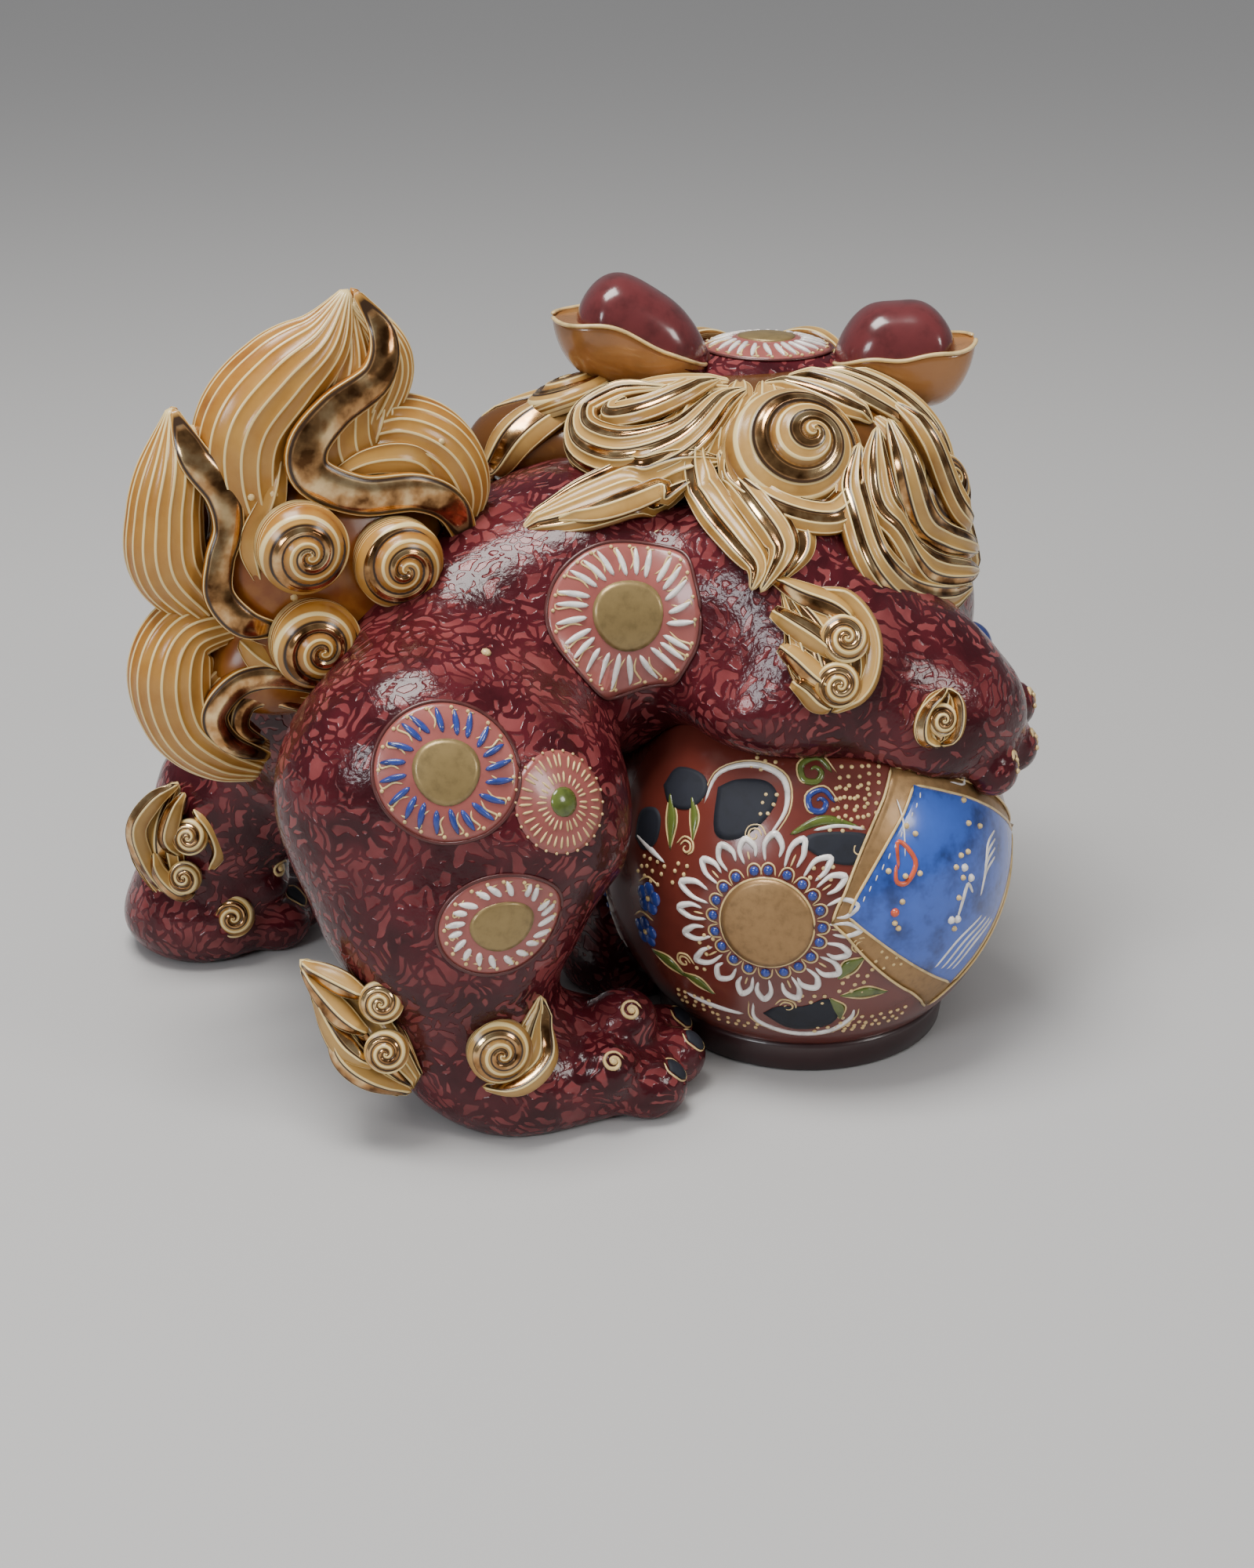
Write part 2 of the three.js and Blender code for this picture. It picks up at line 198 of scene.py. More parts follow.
def skin(field, low, high, step):
    """Surface nets: one point in each cell that the surface crosses, at the mean of the crossings on
    its edges, and one quad across each crossed edge. The points are then dropped onto the surface."""
    lines = [np.arange(a, b + step, step) for a, b in zip(low, high)]
    grid = np.stack(np.meshgrid(*lines, indexing="ij"), -1)
    value = np.concatenate([field(slab.reshape(-1, 3)).reshape(slab.shape[:-1])[None] for slab in grid])
    inside = value < 0
    size = np.array(inside.shape) - 1
    corner = [(i, j, k) for i in (0, 1) for j in (0, 1) for k in (0, 1)]

    def shifted(a, c):
        return a[c[0]:c[0] + size[0], c[1]:c[1] + size[1], c[2]:c[2] + size[2]]

    count = sum(shifted(inside, c).astype(np.int8) for c in corner)
    cells = np.argwhere((count > 0) & (count < 8))
    number = np.full(size, -1)
    number[tuple(cells.T)] = np.arange(len(cells))
    total, crossings = np.zeros((len(cells), 3)), np.zeros(len(cells))
    for a in corner:
        for axis in range(3):
            if a[axis] == 0:
                b = tuple(v + (k == axis) for k, v in enumerate(a))
                va = value[tuple((cells + a).T)]
                vb = value[tuple((cells + b).T)]
                crossed = (va < 0) != (vb < 0)
                t = np.where(crossed, va / np.where(crossed, va - vb, 1), 0)
                total += crossed[:, None] * (np.array(a) + t[:, None] * np.eye(3)[axis])
                crossings += crossed
    points = np.array(low) + step * (cells + total / crossings[:, None])
    quads = []
    for axis in range(3):
        u, v = (axis + 1) % 3, (axis + 2) % 3
        ahead = np.roll(inside, -1, axis)
        edges = np.argwhere(inside != ahead)
        edges = edges[(edges[:, axis] < size[axis]) & (edges[:, u] > 0) & (edges[:, v] > 0)
                      & (edges[:, u] < size[u]) & (edges[:, v] < size[v])]
        eu, ev = np.eye(3, dtype=int)[u], np.eye(3, dtype=int)[v]
        ring = np.stack([number[tuple((edges - eu * du - ev * dv).T)]
                         for du, dv in ((1, 1), (0, 1), (0, 0), (1, 0))], 1)
        flip = ~inside[tuple(edges.T)]
        ring[flip] = ring[flip][:, ::-1]
        quads.append(ring)
    for _ in range(2):
        g = slope(field, points)
        move = field(points)[:, None] * g / (np.sum(g * g, -1, keepdims=True) + 1e-6)
        points = points - np.clip(move, -0.4 * step, 0.4 * step)
    return points, np.concatenate(quads)


def make(name, sheets, material):
    """One mesh object of several sheets at the origin. A sheet is points, faces, corner coordinates
    and, where its glaze needs them, two tones per point: shade and gilt."""
    points, faces, corners, tones, first = [], [], [], [], 0
    for sheet_points, sheet_faces, sheet_uv, *tone in sheets:
        points.append(np.asarray(sheet_points, float).reshape(-1, 3))
        tones.append(tone[0] if tone else np.tile([0.5, 0.0], (len(points[-1]), 1)))
        for block, uv in zip(sheet_faces, sheet_uv):
            if len(block):
                faces.append(np.asarray(block) + first)
                corners.append(np.asarray(uv, float).reshape(-1, 2))
        first += len(points[-1])
    mesh = bpy.data.meshes.new(name)
    points = (np.concatenate(points) + SHIFT) * MM
    sizes = np.concatenate([np.full(len(block), block.shape[1]) for block in faces])
    corner_points = np.concatenate([block.reshape(-1) for block in faces])
    mesh.vertices.add(len(points))
    mesh.vertices.foreach_set("co", points.astype(np.float32).ravel())
    mesh.loops.add(len(corner_points))
    mesh.loops.foreach_set("vertex_index", corner_points.astype(np.int32))
    mesh.polygons.add(len(sizes))
    mesh.polygons.foreach_set("loop_start", np.concatenate([[0], np.cumsum(sizes)[:-1]]).astype(np.int32))
    mesh.polygons.foreach_set("use_smooth", np.ones(len(sizes), bool))
    mesh.uv_layers.new(name="run").data.foreach_set("uv", np.concatenate(corners).astype(np.float32).ravel())
    for name_of, column in (("shade", 0), ("gilt", 1)):
        layer = mesh.attributes.new(name_of, "FLOAT", "POINT")
        layer.data.foreach_set("value", np.concatenate(tones)[:, column].astype(np.float32))
    mesh.update(calc_edges=True)
    mesh.validate()
    mesh.materials.append(material)
    piece = bpy.data.objects.new(name, mesh)
    bpy.context.scene.collection.objects.link(piece)
    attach(piece, "root")
    return piece


def dress(name, sheets, material, slot, *nodes):
    """A finished piece, standing for the frame's nodes if it has any; the slot it is given is not used."""
    piece = make(name, sheets, material)
    if nodes:
        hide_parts(*nodes)


def plain(points, quads):
    """A sheet that needs no corner coordinates."""
    return points, [quads], [np.zeros((len(quads), 4, 2))]


def add_node(nodes, kind, **values):
    """A shader node with its settings, and its inputs given as in_NAME or in_NUMBER."""
    node = nodes.new(kind)
    for key, value in values.items():
        if key.startswith("in_"):
            slot = key[3:]
            node.inputs[int(slot) if slot.isdigit() else slot.replace("_", " ")].default_value = value
        else:
            setattr(node, key, value)
    return node


def ramp(nodes, stops, smooth=False):
    """A colour ramp from (place, colour) stops."""
    node = nodes.new("ShaderNodeValToRGB")
    node.color_ramp.interpolation = "EASE" if smooth else "LINEAR"
    while len(node.color_ramp.elements) < len(stops):
        node.color_ramp.elements.new(0.5)
    for element, (place, colour) in zip(node.color_ramp.elements, stops):
        element.position, element.color = place, (*colour, 1.0)
    return node


PLUM, MAROON_ROSE, PALE_ROSE = (0.10, 0.018, 0.020), (0.175, 0.034, 0.036), (0.24, 0.056, 0.056)
DEEP_MAROON, MAROON = (0.036, 0.0045, 0.007), (0.085, 0.010, 0.015)
ACROSS, DEEP = 1 / 300.0, 1 / 320.0   # a cell's size across its length, in metres


def web_glaze(name):
    """Brushed net. Two sets of long cells, bent by noise, lie in two directions and take turns in
    patches; near their edges is a dark stroke, inside them the rose ground leans to plum here and
    there. The strokes stand a little proud of the ground."""
    material, nodes, links, shader = new_material(name)
    place = add_node(nodes, "ShaderNodeTexCoord")
    bend = add_node(nodes, "ShaderNodeTexNoise", in_Scale=85.0, in_Detail=2.0)
    links.new(place.outputs["Object"], bend.inputs["Vector"])
    offset = add_node(nodes, "ShaderNodeVectorMath", operation="MULTIPLY_ADD")
    offset.inputs[1].default_value = (0.013, 0.013, 0.013)
    links.new(bend.outputs["Color"], offset.inputs[0])
    links.new(place.outputs["Object"], offset.inputs[2])

    def mixed(kind, factor, a, b):
        node = add_node(nodes, "ShaderNodeMix", data_type=kind)
        links.new(factor, node.inputs["Factor"])
        inputs = [s for s in node.inputs if s.enabled][1:]
        for slot, value in zip(inputs, (a, b)):
            if isinstance(value, (tuple, float)):
                slot.default_value = (*value, 1.0) if isinstance(value, tuple) else value
            else:
                links.new(value, slot)
        return [s for s in node.outputs if s.enabled][0]

    sets = []
    for lean, long_way in ((0.6, 95.0), (-0.9, 105.0)):
        turned_way = add_node(nodes, "ShaderNodeMapping", vector_type="TEXTURE")
        turned_way.inputs["Rotation"].default_value = (0.25, lean, 0.3 * lean)
        turned_way.inputs["Scale"].default_value = (1 / long_way, ACROSS, DEEP)
        links.new(offset.outputs[0], turned_way.inputs["Vector"])
        cells = add_node(nodes, "ShaderNodeTexVoronoi", feature="DISTANCE_TO_EDGE", in_Scale=1.0)
        links.new(turned_way.outputs[0], cells.inputs["Vector"])
        sets.append(cells.outputs["Distance"])
    turns = add_node(nodes, "ShaderNodeTexNoise", in_Scale=58.0, in_Detail=1.0)
    links.new(place.outputs["Object"], turns.inputs["Vector"])
    choice = ramp(nodes, [(0.47, (0, 0, 0)), (0.53, (1, 1, 1))])
    links.new(turns.outputs["Fac"], choice.inputs["Fac"])
    distance = mixed("FLOAT", choice.outputs["Color"], *sets)
    patches = add_node(nodes, "ShaderNodeTexNoise", in_Scale=75.0, in_Detail=4.0)
    links.new(offset.outputs[0], patches.inputs["Vector"])
    thick = add_node(nodes, "ShaderNodeMapRange", in_1=0.35, in_2=0.65, in_3=0.09, in_4=-0.03)
    links.new(patches.outputs["Fac"], thick.inputs["Value"])
    thinned = add_node(nodes, "ShaderNodeMath", operation="SUBTRACT")
    links.new(distance, thinned.inputs[0])
    links.new(thick.outputs["Result"], thinned.inputs[1])
    strokes = ramp(nodes, [(0.10, (0, 0, 0)), (0.17, (1, 1, 1))], True)
    links.new(thinned.outputs[0], strokes.inputs["Fac"])
    ground = ramp(nodes, [(0.3, PLUM), (0.5, MAROON_ROSE), (0.7, PALE_ROSE)])
    links.new(bend.outputs["Fac"], ground.inputs["Fac"])
    brushed = ramp(nodes, [(0.35, DEEP_MAROON), (0.65, MAROON)])
    links.new(patches.outputs["Fac"], brushed.inputs["Fac"])
    links.new(mixed("RGBA", strokes.outputs["Color"], brushed.outputs["Color"], ground.outputs["Color"]),
              shader.inputs["Base Color"])
    fine = add_node(nodes, "ShaderNodeTexNoise", in_Scale=330.0, in_Detail=3.0)
    links.new(place.outputs["Object"], fine.inputs["Vector"])
    uneven = mixed("FLOAT", strokes.outputs["Color"], 1.0, 0.35)
    height = add_node(nodes, "ShaderNodeMath", operation="ADD")
    links.new(uneven, height.inputs[0])
    links.new(fine.outputs["Fac"], height.inputs[1])
    bump = add_node(nodes, "ShaderNodeBump", in_Strength=0.55, in_Distance=0.0005)
    links.new(height.outputs[0], bump.inputs["Height"])
    links.new(bump.outputs["Normal"], shader.inputs["Normal"])
    shader.inputs["Roughness"].default_value = 0.17
    shader.inputs["Specular IOR Level"].default_value = 0.34
    return material


maroon_web = web_glaze("maroon_web_glaze")
body_points, body_quads = skin(body_field, (-134, -98, -3), (122, 100, 182), step=1.5)
dress("glazed_body", [plain(body_points, body_quads)], maroon_web, "maroon_glaze", "trunk_shell",
      "right_foreleg", "left_foreleg", "right_hind_leg", "left_hind_leg")

# ---- Ball -----------------------------------------------------------------------------------
# A slip-cast hollow ball on a low dark foot ring: a brocade of raised enamels on red-brown glaze,
# with matte black cloud patches, big chrysanthemums and gilt-framed blue windows.


def closed(rings, start, end, run=None, tones=None):
    """Rings of points closed by a point at each end; turned outwards by its own signed volume."""
    m, n = rings.shape[:2]
    if run is None:
        run = np.stack(np.meshgrid(np.linspace(0, 1, n + 1), np.linspace(0, 1, m)), -1)
    points = np.concatenate([[start], rings.reshape(-1, 3), [end]])
    here = 1 + np.arange(m * n).reshape(m, n)
    beside = np.roll(here, -1, 1)
    quads = np.stack([here[:-1], beside[:-1], beside[1:], here[1:]], -1).reshape(-1, 4)
    quad_run = np.stack([run[:-1, :-1], run[:-1, 1:], run[1:, 1:], run[1:, :-1]], 2).reshape(-1, 4, 2)
    fans = [np.stack([beside[0], here[0], np.zeros(n, int)], -1),
            np.stack([here[-1], beside[-1], np.full(n, m * n + 1)], -1)]
    fan_run = [np.stack([run[0, 1:], run[0, :-1], (run[0, 1:] + run[0, :-1]) / 2], 1),
               np.stack([run[-1, :-1], run[-1, 1:], (run[-1, 1:] + run[-1, :-1]) / 2], 1)]
    fans, fan_run = np.concatenate(fans), np.concatenate(fan_run)
    middle = points.mean(0)
    a, b, c, d = (points[quads[:, k]] - middle for k in range(4))
    e, f, g = (points[fans[:, k]] - middle for k in range(3))
    volume = np.sum(np.cross(a, b) * c) + np.sum(np.cross(a, c) * d) + np.sum(np.cross(e, f) * g)
    if volume < 0:
        quads, quad_run, fans, fan_run = (x[:, ::-1] for x in (quads, quad_run, fans, fan_run))
    if tones is None:
        return points, [quads, fans], [quad_run, fan_run]
    tones = np.concatenate([[tones[0].mean(0)], tones.reshape(-1, 2), [tones[-1].mean(0)]])
    return points, [quads, fans], [quad_run, fan_run], tones


def flow(knots, count):
    """A smooth path through the knots: Catmull-Rom, evaluated at evenly spaced parameters."""
    knots = np.asarray(knots, float)
    if knots.ndim == 1:
        knots = knots[:, None]
    padded = np.concatenate([[2 * knots[0] - knots[1]], knots, [2 * knots[-1] - knots[-2]]])
    t = np.linspace(0, len(knots) - 1, count)
    i = np.minimum(t.astype(int), len(knots) - 2)
    t = (t - i)[:, None]
    a, b, c, d = (padded[i + k] for k in range(4))
    return b + 0.5 * t * (c - a + t * (2 * a - 5 * b + 4 * c - d + t * (3 * (b - c) + d - a)))


def unit(v):
    """Each vector over its own length."""
    return v / (np.linalg.norm(v, axis=-1, keepdims=True) + 1e-9)


def trail(points, out, half, rise, sides=6):
    """A thread of slip laid along points: ellipse sections, half wide and rise high, with closed ends."""
    points = np.asarray(points, float)
    out = np.broadcast_to(out, points.shape)
    half = np.broadcast_to(half, len(points))
    rise = np.broadcast_to(rise, len(points))
    side = unit(np.cross(out, np.gradient(points, axis=0)))
    turn = np.arange(sides) * 2 * np.pi / sides
    rings = (points[:, None] + side[:, None] * (half[:, None] * np.cos(turn))[..., None]
             + out[:, None] * (rise[:, None] * np.sin(turn))[..., None])
    length = np.concatenate([[0], np.cumsum(np.linalg.norm(np.diff(points, axis=0), axis=1))])
    run = np.stack(np.meshgrid(np.linspace(0, 1, sides + 1), length), -1)
    return closed(rings[1:-1], points[0], points[-1], run[1:-1])


def bead(at, out, radius, rise, sides=8):
    """A drop of enamel: a low dome on the surface with its foot just below it."""
    side = unit(np.cross(out, [0.31, 0.42, 0.85]))
    across = np.cross(out, side)
    turn = np.arange(sides) * 2 * np.pi / sides
    circle = side * np.cos(turn)[:, None] + across * np.sin(turn)[:, None]
    rings = np.stack([at + radius * circle - 0.25 * rise * out, at + 0.95 * radius * circle + 0.35 * rise * out,
                      at + 0.6 * radius * circle + 0.82 * rise * out])
    return closed(rings, at - 0.3 * rise * out, at + rise * out)


class Patch:
    """Drawing on a curved surface: points right and up of an anchor, in millimetres, are set on the
    tangent plane there and dropped onto the surface. Where the surface is slow to work out, a grid of
    it is kept, and points are read from its four nearest corners."""

    def __init__(self, field, anchor, up=(0, 0, 1), reach=0.0, cells=24):
        self.field, self.reach, self.cells, self.base = field, 0.0, cells, 0.0
        anchor, out = drop(field, np.array([anchor], float))
        self.anchor, self.out = anchor[0], out[0]
        self.right = unit(np.cross(np.array(up, float), self.out))
        self.up = np.cross(self.out, self.right)
        if reach:
            line = np.linspace(-reach, reach, cells + 1)
            self.grid = np.concatenate(self.on(np.stack(np.meshgrid(line, line, indexing="ij"), -1)), -1)
            self.reach = reach

    def on(self, xy, lift=0.0):
        """The points and normals on the surface, raised by lift."""
        xy = np.asarray(xy, float)
        if self.reach:
            place = np.clip((xy / self.reach + 1) / 2 * self.cells, 0, self.cells - 1e-6)
            i, j = (place[..., k].astype(int) for k in (0, 1))
            s, t = (place[..., :1] - i[..., None]), (place[..., 1:] - j[..., None])
            g = self.grid
            low = (1 - t) * g[i, j] + t * g[i, j + 1]
            high = (1 - t) * g[i + 1, j] + t * g[i + 1, j + 1]
            both = (1 - s) * low + s * high
            p, n = both[..., :3], unit(both[..., 3:])
        else:
            flat = self.anchor + xy[..., :1] * self.right + xy[..., 1:] * self.up
            p, n = (a.reshape(flat.shape) for a in drop(self.field, flat.reshape(-1, 3)))
        return p + n * np.broadcast_to(np.asarray(lift, float), p.shape[:-1])[..., None], n

    def line(self, xy, half, rise=0.4, count=14, sides=6, taper=True):
        """A brushed or trailed line through the knots xy, thickest as half says along its length."""
        p, n = self.on(flow(xy, count), self.base)
        width = flow(np.atleast_1d(half) if np.size(half) > 1 else [half, half], count)[:, 0]
        if taper:
            width = width * np.sqrt(np.clip(np.sin(np.pi * np.linspace(0.04, 0.96, count)), 0, 1)) ** 0.7
        return trail(p, n, width, np.minimum(rise, width), sides)

    def dots(self, xy, radius, rise=None):
        """A bead of enamel at each of xy."""
        p, n = self.on(np.atleast_2d(xy), self.base)
        return [bead(a, b, radius, radius * 0.7 if rise is None else rise) for a, b in zip(p, n)]

    def plate(self, outline, lift=0.3, dome=0.0, rings=8):
        """A filled shape: the outline's points drawn in towards their middle, raised by lift plus a dome,
        with its rim and underside just below the surface."""
        outline = np.asarray(outline, float)
        middle = outline.mean(0)
        scale = np.linspace(0, 1, rings + 1)[1:][::-1]
        rows = middle + (outline - middle) * scale[:, None, None]
        height = np.broadcast_to((lift + dome * (1 - scale ** 2))[:, None], rows.shape[:2]).copy()
        top, _ = self.on(rows, height)
        low, _ = self.on(np.stack([middle + (outline - middle) * 0.5, outline]), -0.35)
        peak, _ = self.on(middle[None], lift + dome)
        base, _ = self.on(middle[None], -0.35)
        return closed(np.concatenate([low, top]), base[0], peak[0])


def circle(radius, count=40, at=(0, 0)):
    """Evenly spaced points round at."""
    turn = np.arange(count) * 2 * np.pi / count
    return np.stack([radius * np.cos(turn), radius * np.sin(turn)], -1) + at


def looped(outline):
    """The outline with its first point again at the end."""
    return np.vstack([outline, outline[:1]])


def spoke(a):
    """The way out at angle a, and the way across it."""
    return np.array([np.cos(a), np.sin(a)]), np.array([-np.sin(a), np.cos(a)])


def enamel(name, colour, roughness=0.25, metallic=0.0, mottle=0.25, scale=260.0, coat=0.4, dark=0.6):
    """Enamel that pools: its colour runs darker in patches of noise, and its face ripples a little."""
    material, nodes, links, shader = new_material(name)
    place = add_node(nodes, "ShaderNodeTexCoord")
    noise = add_node(nodes, "ShaderNodeTexNoise", in_Scale=scale, in_Detail=4.0, in_Roughness=0.6)
    links.new(place.outputs["Object"], noise.inputs["Vector"])
    shade = ramp(nodes, [(0.5 - mottle, [c * dark for c in colour]), (0.5, colour),
                         (0.5 + mottle, [min(1.0, c * 1.12) for c in colour])])
    links.new(noise.outputs["Fac"], shade.inputs["Fac"])
    links.new(shade.outputs["Color"], shader.inputs["Base Color"])
    bump = add_node(nodes, "ShaderNodeBump", in_Strength=0.15, in_Distance=0.0003)
    links.new(noise.outputs["Fac"], bump.inputs["Height"])
    links.new(bump.outputs["Normal"], shader.inputs["Normal"])
    shader.inputs["Roughness"].default_value = roughness
    shader.inputs["Metallic"].default_value = metallic
    shader.inputs["Coat Weight"].default_value = coat
    shader.inputs["Coat Roughness"].default_value = 0.1
    return material


WHITE = enamel("white_enamel", (0.78, 0.74, 0.70), 0.22)
CREAM = enamel("cream_slip", (0.70, 0.50, 0.22), 0.3)
COBALT = enamel("cobalt_enamel", (0.030, 0.055, 0.26), 0.18, dark=0.45)
LEAF_GREEN = enamel("green_enamel", (0.10, 0.13, 0.025), 0.2, dark=0.45)
BLACK = enamel("black_matte_enamel", (0.010, 0.012, 0.020), 0.7, coat=0.0)
CORAL = enamel("coral_enamel", (0.62, 0.10, 0.04), 0.25)
OLD_GOLD = enamel("burnished_old_gold", (0.34, 0.20, 0.085), 0.42, 0.55, scale=420.0, coat=0.1, dark=0.7)
WINDOW_BLUE = enamel("window_blue_enamel", (0.045, 0.115, 0.50), 0.2, scale=75.0, mottle=0.16, dark=0.4)
BALL_RED = enamel("ball_red_glaze", (0.135, 0.026, 0.018), 0.26, mottle=0.3, scale=45.0)
RING_GLAZE = enamel("dark_ring_glaze", (0.030, 0.009, 0.010), 0.4, scale=60.0)


def ball_field(p):
    """Distance to the ball's outer face."""
    return np.linalg.norm(p - BALL, axis=-1) - BALL_RADIUS


def turned(profile, centre, sides=96):
    """A closed turned piece: radius and height pairs carried round the upright line through centre."""
    profile = np.asarray(profile, float)
    turn = np.arange(sides) * 2 * np.pi / sides
    ring = np.stack([np.cos(turn), np.sin(turn), np.zeros(sides)], -1)
    base = np.array([centre[0], centre[1], 0.0])
    rings = base + profile[1:-1, :1, None] * ring + profile[1:-1, 1:, None] * np.array([0, 0, 1])
    return closed(rings, base + [0, 0, profile[0, 1]], base + [0, 0, profile[-1, 1]])


rise_angle = np.linspace(-0.80, np.pi / 2, 60)
ball_profile = [(0, 8.4)] + [(BALL_RADIUS * np.cos(a), BALL[2] + BALL_RADIUS * np.sin(a)) for a in rise_angle]
dress("ball", [turned(ball_profile, BALL)], BALL_RED, "brocade_glaze", "ball_shell")

RING_SIDES = 96
ring_profile = np.array([(31, 4), (31, 0.4), (31.6, 0), (40, 0), (41, 0.8), (41.4, 4), (42, 8), (41.5, 9.3),
                         (38, 9.6), (32, 9.4), (31, 8)])
turn = np.arange(RING_SIDES) * 2 * np.pi / RING_SIDES
spokes = np.stack([np.cos(turn), np.sin(turn), 0 * turn], -1)
ring_rows = np.array([BALL[0], BALL[1], 0.0]) + ring_profile[:, :1, None] * spokes
ring_rows[..., 2] += ring_profile[:, 1:]
ring_index = np.arange(len(ring_profile) * RING_SIDES).reshape(-1, RING_SIDES)
ring_next = np.roll(ring_index, -1, 0)
ring_quads = np.stack([ring_index, np.roll(ring_index, -1, 1), np.roll(ring_next, -1, 1), ring_next], -1)
dress("ball_foot_ring_glazed", [plain(ring_rows.reshape(-1, 3), ring_quads.reshape(-1, 4))], RING_GLAZE,
      "dark_glaze", "ball_foot_ring")

# Enamels are laid on the ball colour by colour; each list gathers one colour's strokes.
chance = np.random.default_rng(7)
white, cream, blue, green, black, coral, gold = [], [], [], [], [], [], []


def chrysanthemum(patch, size=1.0, petals=20):
    """A gilt disc in a ring of blue beads, with looped white petals and cream scallops round it."""
    disc = 12.6 * size
    gold.append(patch.plate(circle(disc), 0.55, 0.5))
    cream.append(patch.line(looped(circle(disc + 0.3, 36)), 0.38, count=72, taper=False))
    for k in range(petals):
        way, across = spoke(2 * np.pi * (k + chance.uniform(-0.1, 0.1)) / petals)
        blue.extend(patch.dots(way * (disc + 2.5 * size), 1.35 * size, 1.1))
        loop = [way * (disc + 0.8) + 2.0 * size * across, way * (disc + 3.6 * size) + 1.6 * size * across,
                way * (disc + 4.6 * size), way * (disc + 3.6 * size) - 1.6 * size * across,
                way * (disc + 0.8) - 2.0 * size * across]
        cream.append(patch.line(loop, 0.28, 0.3, 16))
    for k in range(petals):
        way, across = spoke(2 * np.pi * (k + chance.uniform(-0.12, 0.12)) / petals)
        near, far = disc + chance.uniform(3.8, 5.0) * size, disc + chance.uniform(12.0, 15.0) * size
        wide = chance.uniform(1.9, 2.6) * size
        loop = [way * near + wide * 0.7 * across, way * (0.4 * near + 0.6 * far) + wide * across, way * far,
                way * (0.4 * near + 0.6 * far) - wide * across, way * (near + 1.5) - wide * 0.8 * across]
        white.append(patch.line(loop, [0.55, 0.8, 1.0, 0.85, 0.5], 0.8, 22))
        if k % 2 == 0:
            cream.append(patch.line([way * (near + 1), way * (near + far) / 2], 0.28, 0.35, 6))


def scroll(patch, strokes, radius, turns=1.4, hand=1, half=1.0):
    """A little curl: a spiral stroke among strokes, with a cream line outside it."""
    a = np.linspace(0, turns * 2 * np.pi, 22)
    r = radius * (1 - 0.8 * a / a[-1])
    spiral = np.stack([hand * r * np.cos(a), r * np.sin(a)], -1)
    strokes.append(patch.line(spiral[::3], [half, half, half * 0.9, half * 0.6], 0.55, 26))
    cream.append(patch.line((spiral * (1 + 1.3 / radius))[:14:3], 0.3, 0.3, 16))


def leaf(patch, start, end, half=1.7):
    """A pointed leaf stroke with cream lines down both edges."""
    start, end = np.array(start, float), np.array(end, float)
    way = unit(end - start)
    across = np.array([-way[1], way[0]])
    bow = start * 0.5 + end * 0.5 + across * 0.9
    green.append(patch.line([start, bow, end], [0.5, half, 0.4], 0.45, 12))
    for s in (-1, 1):
        cream.append(patch.line([start, bow + s * across * (half + 0.25), end], 0.26, 0.3, 12))


def dot_field(patch, columns, rows, pitch=2.7, slant=0.25):
    """Rows of cream dots on a slanted lattice, each a little off its place."""
    spots = [(i * pitch + slant * j * pitch, j * pitch) for i in range(columns) for j in range(rows)]
    spots = np.array(spots) - np.mean(spots, 0) + chance.uniform(-0.18, 0.18, (len(spots), 2)) * pitch
    cream.extend(patch.dots(spots, 0.62, 0.45))


def cloud(patch, outline, arc=None):
    """A matte black cloud patch with a thick white comma round part of it."""
    black.append(patch.plate(flow(looped(np.array(outline)), 37)[:-1], 0.22, 0.1, 5))
    if arc is not None:
        white.append(patch.line(arc, [0.5, 0.9, 0.9, 0.5], 0.6, 24))
        cream.append(patch.line(np.array(arc) * 1.1, 0.28, 0.3, 24))


def on_ball(*place):
    """A patch of the ball's face nearest to place."""
    return Patch(ball_field, place)


BIG_CLOUD = [(-8, 4), (-3, 7), (5, 8), (9, 4), (6, -4), (0, -9), (-6, -8)]
BIG_COMMA = [(-11, -1), (-9, 8), (0, 12), (9, 10), (12, 2), (9, -7)]
SMALL_CLOUD = [(-7, -1), (-5, 5), (4, 6), (8, 2), (5, -4), (-2, -5)]
chrysanthemum(on_ball(17, -82, 54))
cloud(on_ball(14, -70, 83), BIG_CLOUD, BIG_COMMA)
cloud(on_ball(5, -53, 82), SMALL_CLOUD)
cloud(on_ball(-3, -48, 70), [(-4, -4), (-5, 3), (0, 6), (4, 4), (5, -2), (1, -6)])
cloud(on_ball(33, -86, 75), [(-9, 1), (-4, 3.5), (9, 3), (8.5, -2), (6, -5), (-1, -4)])
cloud(on_ball(27, -83, 25), [(-10, -1), (-6, 3), (1, 4), (7, 7), (11, 3), (8, -5), (-2, -7)],
      [(-13, 3), (-12, -5), (-2, -10), (8, -9), (14, -3), (15, 1)])
scroll(on_ball(33, -74, 91), green, 5.0, hand=1)
scroll(on_ball(32, -80, 85), blue, 4.2, hand=1, half=0.9)
green.append(on_ball(32, -83, 80).line([(-9, -2.5), (0, 1.2), (9.5, -0.5)], [0.8, 1.3, 0.5], 0.5, 18))
white.append(on_ball(36, -84, 78).line([(-7, 0.3), (0, 1.2), (7, 0)], 0.55, 0.5))
white.append(on_ball(-3, -51, 65).line([(-7, 2), (0, 0.3), (7, -1.4)], [0.5, 0.9, 0.5], 0.5))
white.append(on_ball(9, -67, 23).line([(-9, 1.5), (0, 0), (9, -0.8)], [0.5, 1.0, 0.6], 0.5))
